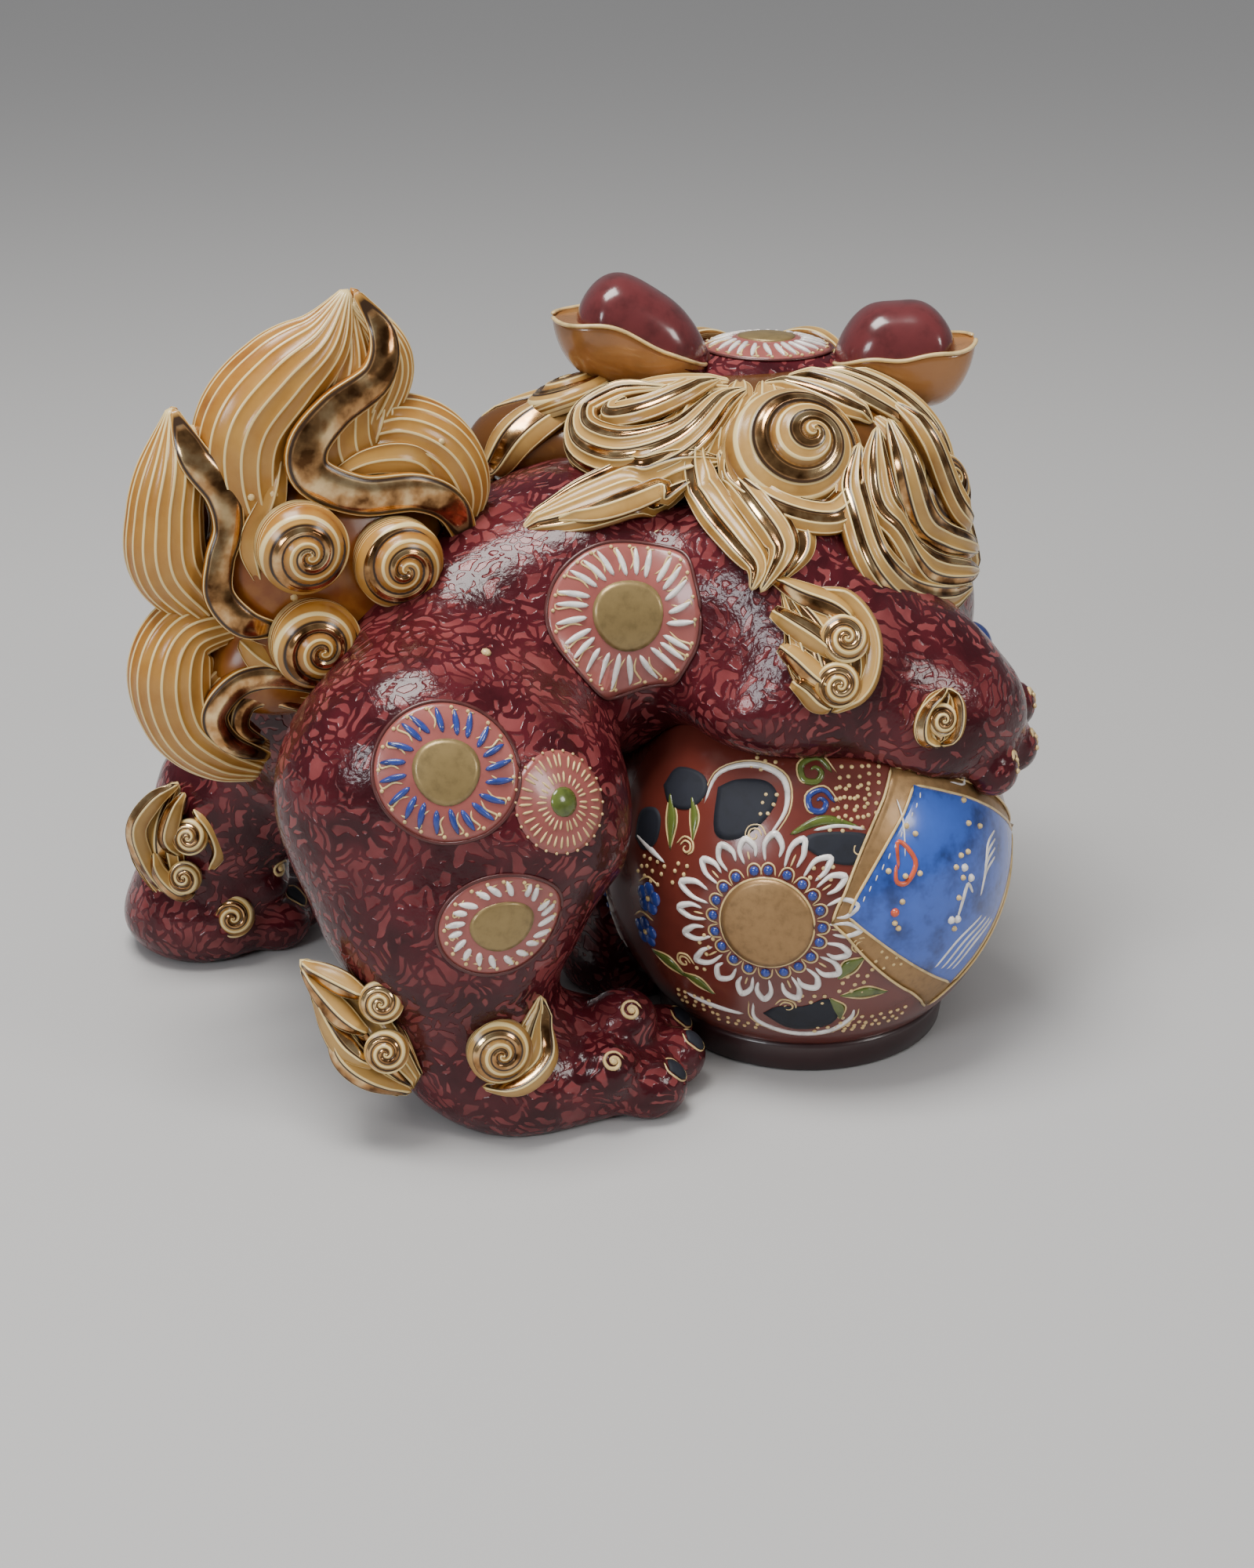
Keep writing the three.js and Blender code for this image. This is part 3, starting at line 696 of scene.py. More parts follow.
for place, start, end, half in (
        ((0, -54, 74), (-3, 8), (4, -7), 1.7), ((4, -60, 77), (-2, 6), (3, -6), 1.2),
        ((-1, -58, 33), (-6, 3), (7, -2), 2.0), ((5, -66, 31), (-5, 2), (5, -3), 1.8),
        ((37, -92, 41), (-3.5, -3), (3.5, 4), 2.2), ((42, -90, 32), (-7, 0.5), (7, 0), 2.0),
        ((35, -88, 27), (-2, 5), (2, -5), 1.8)):
    leaf(on_ball(*place), start, end, half)
for place, hand in (((40, -87, 73), 1), ((1, -63, 70), -1), ((2, -64, 37), 1), ((22, -85, 27), -1),
                    ((39, -92, 48), 1), ((15, -76, 77), 1)):
    scroll(on_ball(*place), cream, 2.2, 1.2, hand, 0.35)
for x, y, z in ((-5, -54, 52), (-5, -52, 41)):
    flower = on_ball(x, y, z)
    for k in range(5):
        a = 2 * np.pi * k / 5 + 0.3
        blue.append(flower.plate(circle(2.1, 12, (2.7 * np.cos(a), 2.7 * np.sin(a))), 0.3, 0.5, 3))
    cream.extend(flower.dots([(0, 0)], 1.0))
    cream.append(flower.line([(-5, 3), (-1, 6), (4, 5)], 0.3, 0.3))
for place, columns, rows in (((43, -81, 87), 5, 6), ((-3, -53, 60), 4, 3), ((6, -61, 22), 5, 3),
                             ((47, -87, 20), 8, 3), ((48, -92, 45), 4, 4), ((22, -66, 92), 3, 2),
                             ((12, -72, 15), 5, 2), ((28, -88, 31), 3, 2), ((5, -70, 42), 2, 5),
                             ((39, -84, 84), 4, 5), ((20, -74, 84), 2, 3), ((30, -86, 68), 3, 2),
                             ((38, -93, 36), 3, 3), ((2, -62, 62), 2, 3), ((38, -87, 16), 6, 2)):
    dot_field(on_ball(*place), columns, rows)


def window(patch, outer, inner):
    """A blue window in a gilt frame, both lozenges: cream lines edge the frame, and a coral flower,
    white foam and waves and a dashed line are drawn inside."""
    patch.base = 0.5
    along = np.linspace(0, 1, 12, endpoint=False)[:, None]

    def edge(corners):
        return np.concatenate([a + (b - a) * along for a, b in zip(corners, np.roll(corners, -1, 0))])

    frame_gilt.append(patch.plate(edge(outer), 0.3, 0.0, 10))
    cobalt_panel.append(patch.plate(edge(inner), 0.6, 0.0, 16))
    for corners, half in ((outer, 0.4), (inner, 0.42)):
        for a, b in zip(corners, np.roll(corners, -1, 0)):
            cream.append(patch.line([a, (a + b) / 2, b], half, 0.85, 24, taper=False))
    left, top, right, bottom = inner
    across, rise = (right - left) / 60, (top - bottom) / 60

    def put(points):
        points = np.array(points, float)
        return left + points[:, :1] * across + points[:, 1:] * rise

    for k in range(12):
        spot = left * (1 - k / 13) + top * k / 13 + across * 3.5
        white.append(patch.line([spot, spot + rise * 1.6 + across * 1.0], 0.24, 0.85, 5))
    coral.append(patch.line(put([(15, 6), (17, 13), (19, 7), (16, 3), (14, 4), (15, 8)]), 0.8, 1.2, 24))
    coral.extend(patch.dots(put([(12, -3)]), 1.3, 1.3))
    for spots in ([(16, 4.5), (20, 16), (21, 13), (13, 7), (14, -1), (19, 4), (12, -7), (11.5, -5.5)],
                  [(27, 2), (29, 4), (28, -1), (31, 4), (24, -12), (26, -5), (34, 10), (36, 16), (37, 8)]):
        cream.extend(patch.dots(put(spots), 0.85, 1.1))
    white.extend(patch.dots(put([(25, -10), (23.5, -9.5), (29, 1), (30, -2)]), 1.2, 1.2))
    white.append(patch.line(put([(25, -10), (27, -6), (29, -3), (30, -6)]), 0.6, 1.1, 14))
    for k in range(4):
        x, y = 19 + 1.8 * k, -22 - 1.5 * k
        white.append(patch.line(put([(x, y), (x + 6, y + 6), (x + 14, y + 9)]), 0.45, 1.0, 16))
        white.append(patch.line(put([(32 + k, -8 + 2 * k), (35 + k, -3 + 2 * k), (40 + k, -1 + 2 * k)]), 0.45,
                                1.0))
    white.append(patch.line(put([(36, 22), (40, 20), (41, 26), (38, 29)]), 0.4, 1.0))
    white.append(patch.line(put([(17, 8), (20, 18), (21, 24)]), 0.3, 0.9))


OUTER = np.array([(-48, 2), (-9, 44), (64, 8), (6, -50)])
INNER = np.array([(-38, 2), (-4, 35), (52, 7), (10, -38)])
frame_gilt, cobalt_panel = [], []
window(on_ball(66, -92, 58), OUTER, INNER)

# The unseen side of the ball carries the same pattern again.
chrysanthemum(on_ball(70, 8, 62))
chrysanthemum(on_ball(0, -10, 38), 0.85)
cloud(on_ball(46, 14, 30), BIG_CLOUD, BIG_COMMA)
cloud(on_ball(98, -12, 40), BIG_CLOUD, BIG_COMMA)
cloud(on_ball(40, 15, 75), SMALL_CLOUD)
for place in ((95, -5, 70), (20, 10, 68), (30, 16, 45), (85, 5, 30), (-6, -30, 60), (92, -22, 84)):
    scroll(on_ball(*place), green, 4.5)
    leaf(on_ball(place[0], place[1], place[2] - 9), (-5, 2), (5, -2))
for place in ((100, -20, 24), (60, 18, 34), (10, 5, 30), (24, 12, 84), (80, 8, 82)):
    dot_field(on_ball(*place), 4, 3)

for name, strokes, material in (
        ("ball_black_clouds", black, BLACK), ("ball_gilt_discs", gold, OLD_GOLD),
        ("ball_gilt_frame", frame_gilt, OLD_GOLD), ("ball_blue_window", cobalt_panel, WINDOW_BLUE),
        ("ball_white_enamel", white, WHITE), ("ball_cream_enamel", cream, CREAM),
        ("ball_blue_enamel", blue, COBALT), ("ball_green_enamel", green, LEAF_GREEN),
        ("ball_coral_enamel", coral, CORAL)):
    slot = {"ball_white_enamel": "white_enamel", "ball_blue_enamel": "blue_enamel"}
    make(name, strokes, material)

# ---- Medallions -----------------------------------------------------------------------------
# Smooth rose discs painted over the net, each with a gilt or green eye and a ring of enamel commas:
# white on the flank, thigh and crown, blue on the haunch, fine pale yellow on the small one.
ROSE = enamel("rose_medallion_glaze", (0.30, 0.085, 0.072), 0.3, mottle=0.3, scale=160.0, dark=0.75)
OLIVE_GOLD = enamel("olive_gold_lustre", (0.30, 0.21, 0.085), 0.38, 0.5, scale=300.0, coat=0.2, dark=0.7)
UMBER = enamel("umber_outline", (0.085, 0.020, 0.018), 0.35, coat=0.2)
strokes = {key: [] for key in ("rose", "eye", "green", "umber", "white", "cream", "blue", "claw")}


def medallion(patch, radius, eye, petals=20, main="white", squash=1.0):
    """A disc, its eye, commas of the main colour that thicken towards the eye, and between them
    cream half-outlines and dots."""
    wide = np.array([squash, 1.0])
    strokes["rose"].append(patch.plate(circle(radius, 48) * wide, 0.28, 0.1, 12))
    patch.base = 0.34
    strokes["umber"].append(patch.line(looped(circle(radius + 0.2, 36)) * wide, 0.5, 0.3, 90, taper=False))
    uneven = 1 + 0.03 * np.sin(3 * np.arange(30) / 4.8)[:, None]
    strokes["eye"].append(patch.plate(circle(eye, 30) * wide * uneven, 0.55, 0.35, 6))
    for k in range(petals):
        a = 2 * np.pi * (k + chance.uniform(-0.15, 0.15)) / petals
        way, across = spoke(a)
        near, far = eye + chance.uniform(0.8, 1.8), radius - chance.uniform(1.4, 2.4)
        bow = chance.uniform(0.5, 1.5)
        comma = np.array([way * near, way * (near + far) / 2 + across * bow,
                          way * far + across * bow * 2.2]) * wide
        strokes[main].append(patch.line(comma, [0.7, 0.9, 0.8, 0.45], 0.7, 12))
        way, across = spoke(a + np.pi / petals)
        line = np.array([way * (near + 1.2) + across * 0.5, way * (near + far) / 2 - across * 0.5,
                         way * (far - 0.6) + across * 0.4, way * far - across * 1.1]) * wide
        strokes["cream"].append(patch.line(line, 0.3, 0.4, 9))
        strokes["cream"].extend(patch.dots((way * (radius - 1.6) + across * 0.9) * wide, 0.55, 0.5))


def fine_medallion(patch, radius, eye, petals=26):
    """The small one: rings of fine radial pale yellow lines and dots round a green eye."""
    strokes["rose"].append(patch.plate(circle(radius, 40), 0.26, 0.1, 8))
    strokes["green"].append(patch.plate(circle(eye, 16), 0.5, 0.8, 4))
    patch.base = 0.3
    rings = ((eye + 0.8, eye + 4.2, petals), (eye + 4.8, radius - 0.8, petals + 8))
    for near, far, count in rings:
        for k in range(count):
            way, _ = spoke(2 * np.pi * (k + chance.uniform(-0.2, 0.2)) / count)
            strokes["cream"].append(patch.line([way * near, way * (far - chance.uniform(0, 0.9))],
                                               [0.26, 0.4], 0.45, 6))
    strokes["cream"].extend(patch.dots(circle(radius - 0.1, petals), 0.4, 0.4))


def on_body(place, reach=22.0):
    """A patch of the body's skin nearest to place."""
    return Patch(body_field, place, reach=reach)


medallion(on_body((-6, -41, 129), reach=32.0), 21.6, 9.5, 24)
medallion(on_body((-66, -70, 106), reach=28.0), 18.6, 8.4, 20, "blue")
fine_medallion(on_body((-38, -75, 95)), 13.6, 3.8)
medallion(on_body((-56, -77, 66), reach=28.0), 13.4, 6.6, 20, squash=1.3)
# The unseen left side, painted to match.
medallion(on_body((-8, 44, 128)), 18.0, 8.6, 21)
medallion(on_body((-62, 68, 104)), 16.5, 8.2, 18, "blue")
fine_medallion(on_body((-36, 66, 88)), 12.0, 3.6)
medallion(on_body((-84, 78, 62)), 13.0, 6.4, 16)
strokes["cream"].extend(on_body((-48, -46, 124), reach=4).dots([(0, 0)], 1.4, 0.9))

# ---- Tail -----------------------------------------------------------------------------------
# A press-moulded flame: amber lobes combed with raised cream lines, bright gilt bands laid between
# them on both faces, and three snail curls on each side.


def comb_glaze(name, foot, middle, crown):
    """Amber glaze that runs from foot to crown colour with the point's shade, shaken by noise: painted shade at
    the feet, painted highlight on the crowns. Cream lines where the run coordinate is half-way between whole
    numbers, and gilt where gilt is high, with a dark painted reflection round its edge and painted dark and
    bright reflections in it."""
    material, nodes, links, shader = new_material(name)
    place = add_node(nodes, "ShaderNodeTexCoord")
    run = add_node(nodes, "ShaderNodeSeparateXYZ")
    uv = add_node(nodes, "ShaderNodeUVMap", uv_map="run")
    links.new(uv.outputs["UV"], run.inputs[0])

    def sum_of(operation, a, b=None):
        node = add_node(nodes, "ShaderNodeMath", operation=operation)
        for slot, value in enumerate((a, b)):
            if isinstance(value, (int, float)):
                node.inputs[slot].default_value = value
            elif value is not None:
                links.new(value, node.inputs[slot])
        return node.outputs[0]

    def fade(value, low, high):
        node = add_node(nodes, "ShaderNodeMapRange", in_1=low, in_2=high)
        links.new(value, node.inputs["Value"])
        return node.outputs["Result"]

    def blend(factor, a, b):
        node = add_node(nodes, "ShaderNodeMix", data_type="RGBA")
        links.new(factor, node.inputs["Factor"])
        for slot, value in (("A", a), ("B", b)):
            if isinstance(value, tuple):
                node.inputs[slot].default_value = (*value, 1.0)
            else:
                links.new(value, node.inputs[slot])
        return node.outputs["Result"]

    off = sum_of("ABSOLUTE", sum_of("SUBTRACT", sum_of("FRACT", run.outputs[0]), 0.5))
    line = sum_of("MULTIPLY", fade(sum_of("MULTIPLY", off, run.outputs[1]), 0.40, 0.24),
                  sum_of("GREATER_THAN", run.outputs[1], 0.05))
    shade = add_node(nodes, "ShaderNodeAttribute", attribute_name="shade")
    gilt = add_node(nodes, "ShaderNodeAttribute", attribute_name="gilt")
    noise = add_node(nodes, "ShaderNodeTexNoise", in_Scale=130.0, in_Detail=4.0)
    links.new(place.outputs["Object"], noise.inputs["Vector"])
    # Painted shade and highlight: the point's shade, shaken by noise, runs the amber from dark foot to light
    # crown.
    tone = sum_of("ADD", shade.outputs["Fac"],
                  sum_of("MULTIPLY", sum_of("SUBTRACT", noise.outputs["Fac"], 0.5), 0.9))
    amber = ramp(nodes, [(0.08, foot), (0.5, middle), (0.95, crown)])
    links.new(tone, amber.inputs["Fac"])
    # Painted reflection in the gilt: noise turns it from dark bronze to bright gold in patches.
    lustre = ramp(nodes, [(0.36, (0.13, 0.058, 0.022)), (0.50, (0.52, 0.28, 0.115)),
                          (0.64, (0.90, 0.64, 0.33))])
    links.new(noise.outputs["Fac"], lustre.inputs["Fac"])
    with_line = blend(line, amber.outputs["Color"], (0.80, 0.61, 0.28))
    # Painted reflection: a near-black edge round the gilt where its attribute first rises.
    edged = blend(fade(gilt.outputs["Fac"], 0.14, 0.28), with_line, (0.035, 0.017, 0.007))
    bright = fade(gilt.outputs["Fac"], 0.48, 0.66)
    links.new(blend(bright, edged, lustre.outputs["Color"]), shader.inputs["Base Color"])
    links.new(bright, shader.inputs["Metallic"])
    rough = add_node(nodes, "ShaderNodeMapRange", in_1=0.0, in_2=1.0, in_3=0.24, in_4=0.16)
    links.new(bright, rough.inputs["Value"])
    links.new(rough.outputs["Result"], shader.inputs["Roughness"])
    bump = add_node(nodes, "ShaderNodeBump", in_Strength=0.25, in_Distance=0.0004)
    links.new(noise.outputs["Fac"], bump.inputs["Height"])
    links.new(bump.outputs["Normal"], shader.inputs["Normal"])
    return material


# The foot colours are painted shade and the crown colours painted highlight.
AMBER = comb_glaze("combed_amber_glaze", (0.22, 0.062, 0.009), (0.38, 0.165, 0.030), (0.48, 0.255, 0.062))
MANE = comb_glaze("combed_mane_glaze", (0.11, 0.040, 0.008), (0.29, 0.140, 0.032), (0.47, 0.275, 0.082))


def strand(points, out, half, rise, lines, gilt=(), sink=0.6, rim=0.07, ridge=0.38, valley=0.45,
           shade=(0.1, 1.0)):
    """A lock of hair: half-ellipse sections carried along points, rise high and sunk below the base.
    Lines run along it from rim to rim, each a small ridge with a hollow between; gilt names hollows."""
    count = len(points)
    half, rise = (flow(np.atleast_1d(v) if np.size(v) > 1 else [v, v], count)[:, 0].clip(0.05)
                  for v in (half, rise))
    rise = rise * (0.2 + 0.8 * np.clip(np.sin(np.pi * np.linspace(0, 1, count)) * 2.2, 0, 1))
    side = unit(np.cross(out, np.gradient(points, axis=0)))
    sides = int(np.clip(np.max(half) * 2.9 / 0.42, 20, 110))
    across = np.linspace(0, 1, sides)
    mark = (across - rim) / (1 - 2 * rim) * (lines - 1) + 0.5
    spacing = np.pi * half * 0.9 / max(lines - 1, 1)
    off = np.abs(mark % 1 - 0.5)[None] * spacing[:, None]
    inside = (across > rim / 2) & (across < 1 - rim / 2)
    room = np.clip(spacing / 2.2, 0.15, 1)[:, None]
    hollows = np.sin(np.pi * ((mark - 0.5) % 1))
    bumps = inside * room * (ridge * np.exp(-(off / 0.42) ** 2) - valley * hollows)
    angle = np.pi * across
    swell = np.sin(angle)[None] ** 0.8 * rise[:, None] + bumps
    wide = -np.cos(angle)[None] * half[:, None]
    top = points[:, None] + side[:, None] * wide[..., None] + out[:, None] * swell[..., None]
    low_angle = np.linspace(0, np.pi, 7)[1:-1]
    low = (points[:, None] + side[:, None] * (np.cos(low_angle) * half[:, None])[..., None]
           - out[:, None] * (np.sin(low_angle) * (rise * sink)[:, None])[..., None])
    rings = np.concatenate([top, low], 1)
    # Painted shade: each lock is darker at its rims, where it meets the ground, and lighter over its crown; its
    # underside takes the rim tone.
    tone = shade[0] + (shade[1] - shade[0]) * np.sin(angle) ** 0.7
    slot_of = np.floor(mark - 0.5).astype(int)
    lit = np.isin(slot_of, gilt) * (1 - np.abs(2 * ((mark - 0.5) % 1) - 1)) * 1.5
    ends = np.clip(np.sin(np.pi * np.linspace(0, 1, count)) * 3.0, 0, 1)
    tones = np.stack([np.broadcast_to(tone, (count, sides)), ends[:, None] * np.clip(lit, 0, 1)], -1)
    tones = np.concatenate([tones, np.broadcast_to([shade[0], 0.0], (count, 5, 2))], 1)
    marks = np.concatenate([mark, np.zeros(6)])
    run = np.stack(np.broadcast_arrays(marks, spacing[:, None]), -1)
    return closed(rings[1:-1], points[0], points[-1], run[1:-1], tones[1:-1])


def snail(centre, out, up, radius, height, turns=2.4, hand=1, gilt=0.9, stretch=1.0, sides=72, rows=46,
          spin=0.0, lines=2, shift=(0, 0)):
    """A coiled curl: a dome in polar coordinates whose radius and angle together give the turn of a
    spiral; each turn is a rounded coil with cream lines along it. Shift moves the eye off the middle."""
    out = unit(np.array(out, float))
    right = unit(np.cross(np.array(up, float), out))
    above = np.cross(out, right)
    s = np.linspace(0.03, 1, rows)[:, None]
    theta = np.linspace(0, 2 * np.pi, sides + 1)[None] + spin
    phase = turns * s ** 0.72 - hand * (theta - spin) / (2 * np.pi)
    within = phase % 1
    coil = np.sqrt(np.clip(1 - (2 * within - 1) ** 2, 0, 1))
    line_off = np.abs((lines * phase) % 1 - 0.5) * radius / turns / lines
    high = (height * np.sqrt(np.clip(1 - (0.94 * s) ** 2, 0, 1)) + radius * 0.085 * coil
            + 0.3 * np.exp(-(line_off / 0.4) ** 2))
    flat = radius * s * np.ones_like(theta)
    centre = np.array(centre, float) + (1 - s[..., None]) * (right * shift[0] + above * shift[1])
    place = (centre + flat[..., None] * (np.cos(theta)[..., None] * right
             + stretch * np.sin(theta)[..., None] * above) + high[..., None] * out)
    rim = place[-1] - out * (high[-1][:, None] + 0.2 * height)
    rings = np.concatenate([place, rim[None]])[:, :-1]
    lit = gilt * np.exp(-((within - 0.27) / 0.21) ** 2) * (s < 0.88) * (s > 0.08)
    # Painted shade: darker in the grooves between coils, lighter on their crowns, and darkest on the rim
    # underneath.
    tones = np.stack([0.25 + 0.6 * coil * np.ones_like(s), lit * np.ones_like(s)], -1)
    tones = np.concatenate([tones, np.broadcast_to([0.0, 0.0], (1, sides + 1, 2))])[:, :-1]
    run = np.stack([lines * phase, np.full_like(phase, radius / turns / lines)], -1)
    run = np.concatenate([run, np.zeros((1, sides + 1, 2))])
    return closed(rings, np.mean(place[0], 0), np.mean(rim, 0), run, tones)


TAIL_LOBES = {   # (x, z) down each lobe's middle, its half width there, and its thickness over its width
    "top": [([(-92, 148), (-96, 166), (-94, 179), (-84, 190), (-73, 199), (-66, 211)], [8, 12, 13, 12, 8, 1.2],
             1.0),
            ([(-66, 172), (-56, 173), (-46, 167), (-40, 156), (-39, 142)], [5, 10, 11.5, 10, 3], 1.0),
            ([(-66, 208), (-58, 199), (-56, 190), (-61, 179), (-68, 170)], [1.5, 4.5, 6, 6, 5], 1.1),
            ([(-66, 206), (-67, 194), (-70, 184), (-72, 172), (-66, 160)], [2, 7, 11, 14, 12], 0.75),
            ([(-58, 186), (-60, 178), (-64, 168)], [4, 8, 8], 0.9)],
    "left": [([(-113, 185), (-114, 172), (-117, 158), (-117, 144), (-108, 131)], [1.2, 7.5, 9.5, 10, 7], 1.0),
             ([(-110, 180), (-103, 166), (-100, 155), (-102, 144), (-104, 136)], [1.5, 5, 5.5, 5.5, 4], 1.2)],
    "hook": [([(-100, 128), (-114, 126), (-119, 115), (-117, 101), (-108, 91), (-97, 84)],
              [6, 9, 11, 10, 8.5, 4], 1.0),
             ([(-80, 108), (-93, 112), (-105, 112), (-110, 104), (-106, 95), (-95, 88)], [5, 6, 6, 5.5, 5, 3],
              1.1)]}
tail_balls = []
for lobes in TAIL_LOBES.values():
    for path, half, flat in lobes:
        line, wide = flow(path, 40), flow(half, 40)[:, 0]
        tail_balls.append(np.column_stack([line, wide, np.full(40, flat)]))
tail_balls = np.concatenate(tail_balls)


def tail_core(p):
    """The plain clay between the lobes."""
    return melt([egg(p, (-76, 0, 140), (33, 15, 27)), egg(p, (-88, 0, 113), (22, 13, 14)),
                 bone(p, (-56, 0, 112), 14.5, (-76, 0, 138), 14.5)], 8.0)


def tail_face(xz):
    """Half the tail's thickness at each (x, z): the highest of the lobes' balls there, or the core."""
    d2 = (xz[:, None, 0] - tail_balls[None, :, 0]) ** 2 + (xz[:, None, 1] - tail_balls[None, :, 1]) ** 2
    lobes = np.sqrt(np.clip(tail_balls[None, :, 2] ** 2 - d2, 0, None)) * tail_balls[None, :, 3]
    core = [np.sqrt(np.clip(1 - ((xz[:, 0] - x) / a) ** 2 - ((xz[:, 1] - z) / c) ** 2, 0, None)) * b
            for x, z, a, b, c in ((-76, 140, 33, 15, 27), (-88, 113, 22, 13, 14))]
    return np.maximum.reduce([lobes.max(1)] + core)


def tail_lobe(path, half, flat, lines=19):
    """A round tube down the lobe's middle, combed with lines all the way round."""
    line = flow(path, 64)
    half = flow(half, 64)[:, 0].clip(0.3)
    along = unit(np.gradient(line, axis=0))
    side = np.stack([along[:, 1], 0 * along[:, 0], -along[:, 0]], -1)
    sides = 8 * lines
    turn = np.linspace(0, 2 * np.pi, sides + 1)
    mark = np.linspace(0, lines, sides + 1)
    spacing = 2 * np.pi * half / lines
    off = np.abs(mark % 1 - 0.5)[None] * spacing[:, None]
    room = np.clip(spacing / 2.5, 0.1, 1)[:, None]
    bumps = room * (0.38 * np.exp(-(off / 0.45) ** 2) - 0.22 * np.sin(np.pi * ((mark - 0.5) % 1)))
    radius = half[:, None] + bumps
    centre = np.stack([line[:, 0], 0 * line[:, 0], line[:, 1]], -1)
    rings = (centre[:, None] + side[:, None] * (radius * np.cos(turn))[..., None]
             + np.array([0, 1, 0]) * (radius * flat * np.sin(turn))[..., None])
    # Painted shade: each lobe is darker along its edges, where it meets the others, and lighter over its two
    # broad faces.
    tone = np.broadcast_to(0.42 + 0.35 * np.abs(np.sin(turn)), radius.shape)
    tones = np.stack([tone, 0 * tone], -1)[:, :-1]
    run = np.stack(np.broadcast_arrays(mark, spacing[:, None]), -1)
    return closed(rings[:, :-1][1:-1], centre[0], centre[-1], run[1:-1], tones[1:-1])


def tail_band(path, half, out_of, face, rise=2.2, lines=2, gilt=(0,), count=64):
    """A band laid on one face of the tail: its knots are (x, z), and out_of is how far from the middle
    plane it runs. It leans the way its own height falls."""
    line, height = flow(path, count), flow(out_of, count)[:, 0]
    points = np.stack([line[:, 0], face * height, line[:, 1]], -1)
    along = unit(np.gradient(points, axis=0))
    out = np.broadcast_to([0.0, face, 0.0], points.shape)
    out = unit(out - np.sum(out * along, -1, keepdims=True) * along)
    return strand(points, out, half, rise, lines, gilt, rim=0.1, sink=1.6)


TAIL_BANDS = {   # (x, z) knots, half widths, distances from the middle plane
    "top": [([(-65, 211), (-59, 200), (-62, 190), (-74, 183), (-82, 175), (-81, 167), (-69, 161), (-54, 160),
              (-44, 154), (-38, 141)], [1.0, 3.6, 4.6, 5.2, 5.6, 5.6, 5.4, 5.2, 4.6, 3.0],
             [1.5, 5, 8, 10.5, 12.5, 13, 13.5, 13, 11, 7])],
    "left": [([(-113, 185), (-110, 174), (-104, 164), (-103, 155), (-106, 147), (-107, 138), (-101, 130),
               (-91, 127)], [1.0, 4.2, 4.4, 4.0, 3.8, 4.0, 4.0, 1.5], [1, 6, 8, 9, 10, 11, 12, 12.5])],
    "hook": [([(-78, 107), (-90, 113), (-102, 113), (-110, 105), (-107, 96), (-95, 88)],
              [1.5, 3.4, 3.8, 3.8, 3.4, 1.5], [12, 11, 9, 8, 7, 4]),
             ([(-84, 102), (-94, 107), (-101, 106), (-103, 99), (-96, 92)], [1.0, 2.4, 2.6, 2.4, 1.2],
              [10, 8, 7, 6, 3])]}
for key, node in (("top", "tail_top_flame"), ("left", "tail_left_flame"), ("hook", "tail_hook")):
    sheets = [tail_lobe(*lobe) for lobe in TAIL_LOBES[key]]
    sheets += [tail_band(*band, face, 3.0) for band in TAIL_BANDS[key] for face in (-1, 1)]
    dress(node + "_combed", sheets, AMBER, "amber_glaze", node)

core_points, core_quads = skin(tail_core, (-114, -20, 92), (-38, 20, 172), 1.6)
# Painted shade: the plain clay between the lobes takes a dark amber.
core_painted_shade_tones = np.column_stack([np.full(len(core_points), 0.12), np.zeros(len(core_points))])
sheets = [(*plain(core_points, core_quads), core_painted_shade_tones)]
for face in (-1, 1):
    for path, half, out_of in (([(-88, 172), (-92, 160), (-97, 150), (-96, 140)], [1.5, 4, 4, 1.5],
                                [9, 10, 10, 11]),
                               ([(-78, 164), (-66, 169), (-54, 168), (-46, 160)], [1, 3.5, 4, 1],
                                [9, 11, 11, 8]),
                               ([(-102, 124), (-96, 118), (-84, 111), (-70, 110)], [1.5, 4.5, 5, 3],
                                [8, 10, 11, 11]),
                               ([(-76, 136), (-73, 129), (-66, 127), (-58, 131)], [1, 3, 3, 1],
                                [12, 13, 13, 12])):
        sheets.append(tail_band(path, half, out_of, face, 1.8, 3, (), 30))
dress("tail_base_glazed", sheets, AMBER, "amber_glaze", "tail_base")

for side, face in (("right", -1), ("left", 1)):
    for place, x, z, hand in (("rear", -86, 150, 1), ("front", -61, 143, -1), ("low", -84, 124, 1)):
        curl = snail((x, face * 15.5, z), (0, face, 0.0), (0, 0, 1), 11.8, 9.0, 2.2, hand * -face, gilt=1.0,
                     spin=0.6)
        dress(f"tail_{place}_curl_{side}_coiled", [curl], AMBER, "amber_glaze", f"tail_{place}_curl_{side}")
drops = []
for x, z, size in ((-91, 163, 1.5), (-97, 163, 1.0), (-97, 148, 1.5), (-88, 136, 1.3), (-104, 128, 1.1),
                   (-72, 131, 1.3), (-50, 128, 1.2), (-84, 168, 1.0), (-46, 172, 0.9)):
    for face in (-1, 1):
        y = tail_face(np.array([[x, z]], float))[0] - 0.2
        drops.append(bead(np.array([x, face * y, z]), np.array([0, face, 0.0]), size, size * 0.9))
make("tail_cream_drops", drops, CREAM)

# ---- Mane -----------------------------------------------------------------------------------
# Press-moulded hair luted over the neck from under the ears: long combed locks with gilt hollows,
# one big snail curl behind the right ear, and a fringe of locks down the shoulder and chest.


def cape_field(p):
    """The cape under the locks, over the neck and both shoulders."""
    return melt([egg(p, (30, 2, 160), (31, 29, 18)), egg(p, (60, -8, 152), (39, 36, 27)),
                 egg(p, (0, 34, 156), (24, 20, 13)), egg(p, (76, 8, 142), (23, 30, 24))], 8.0)


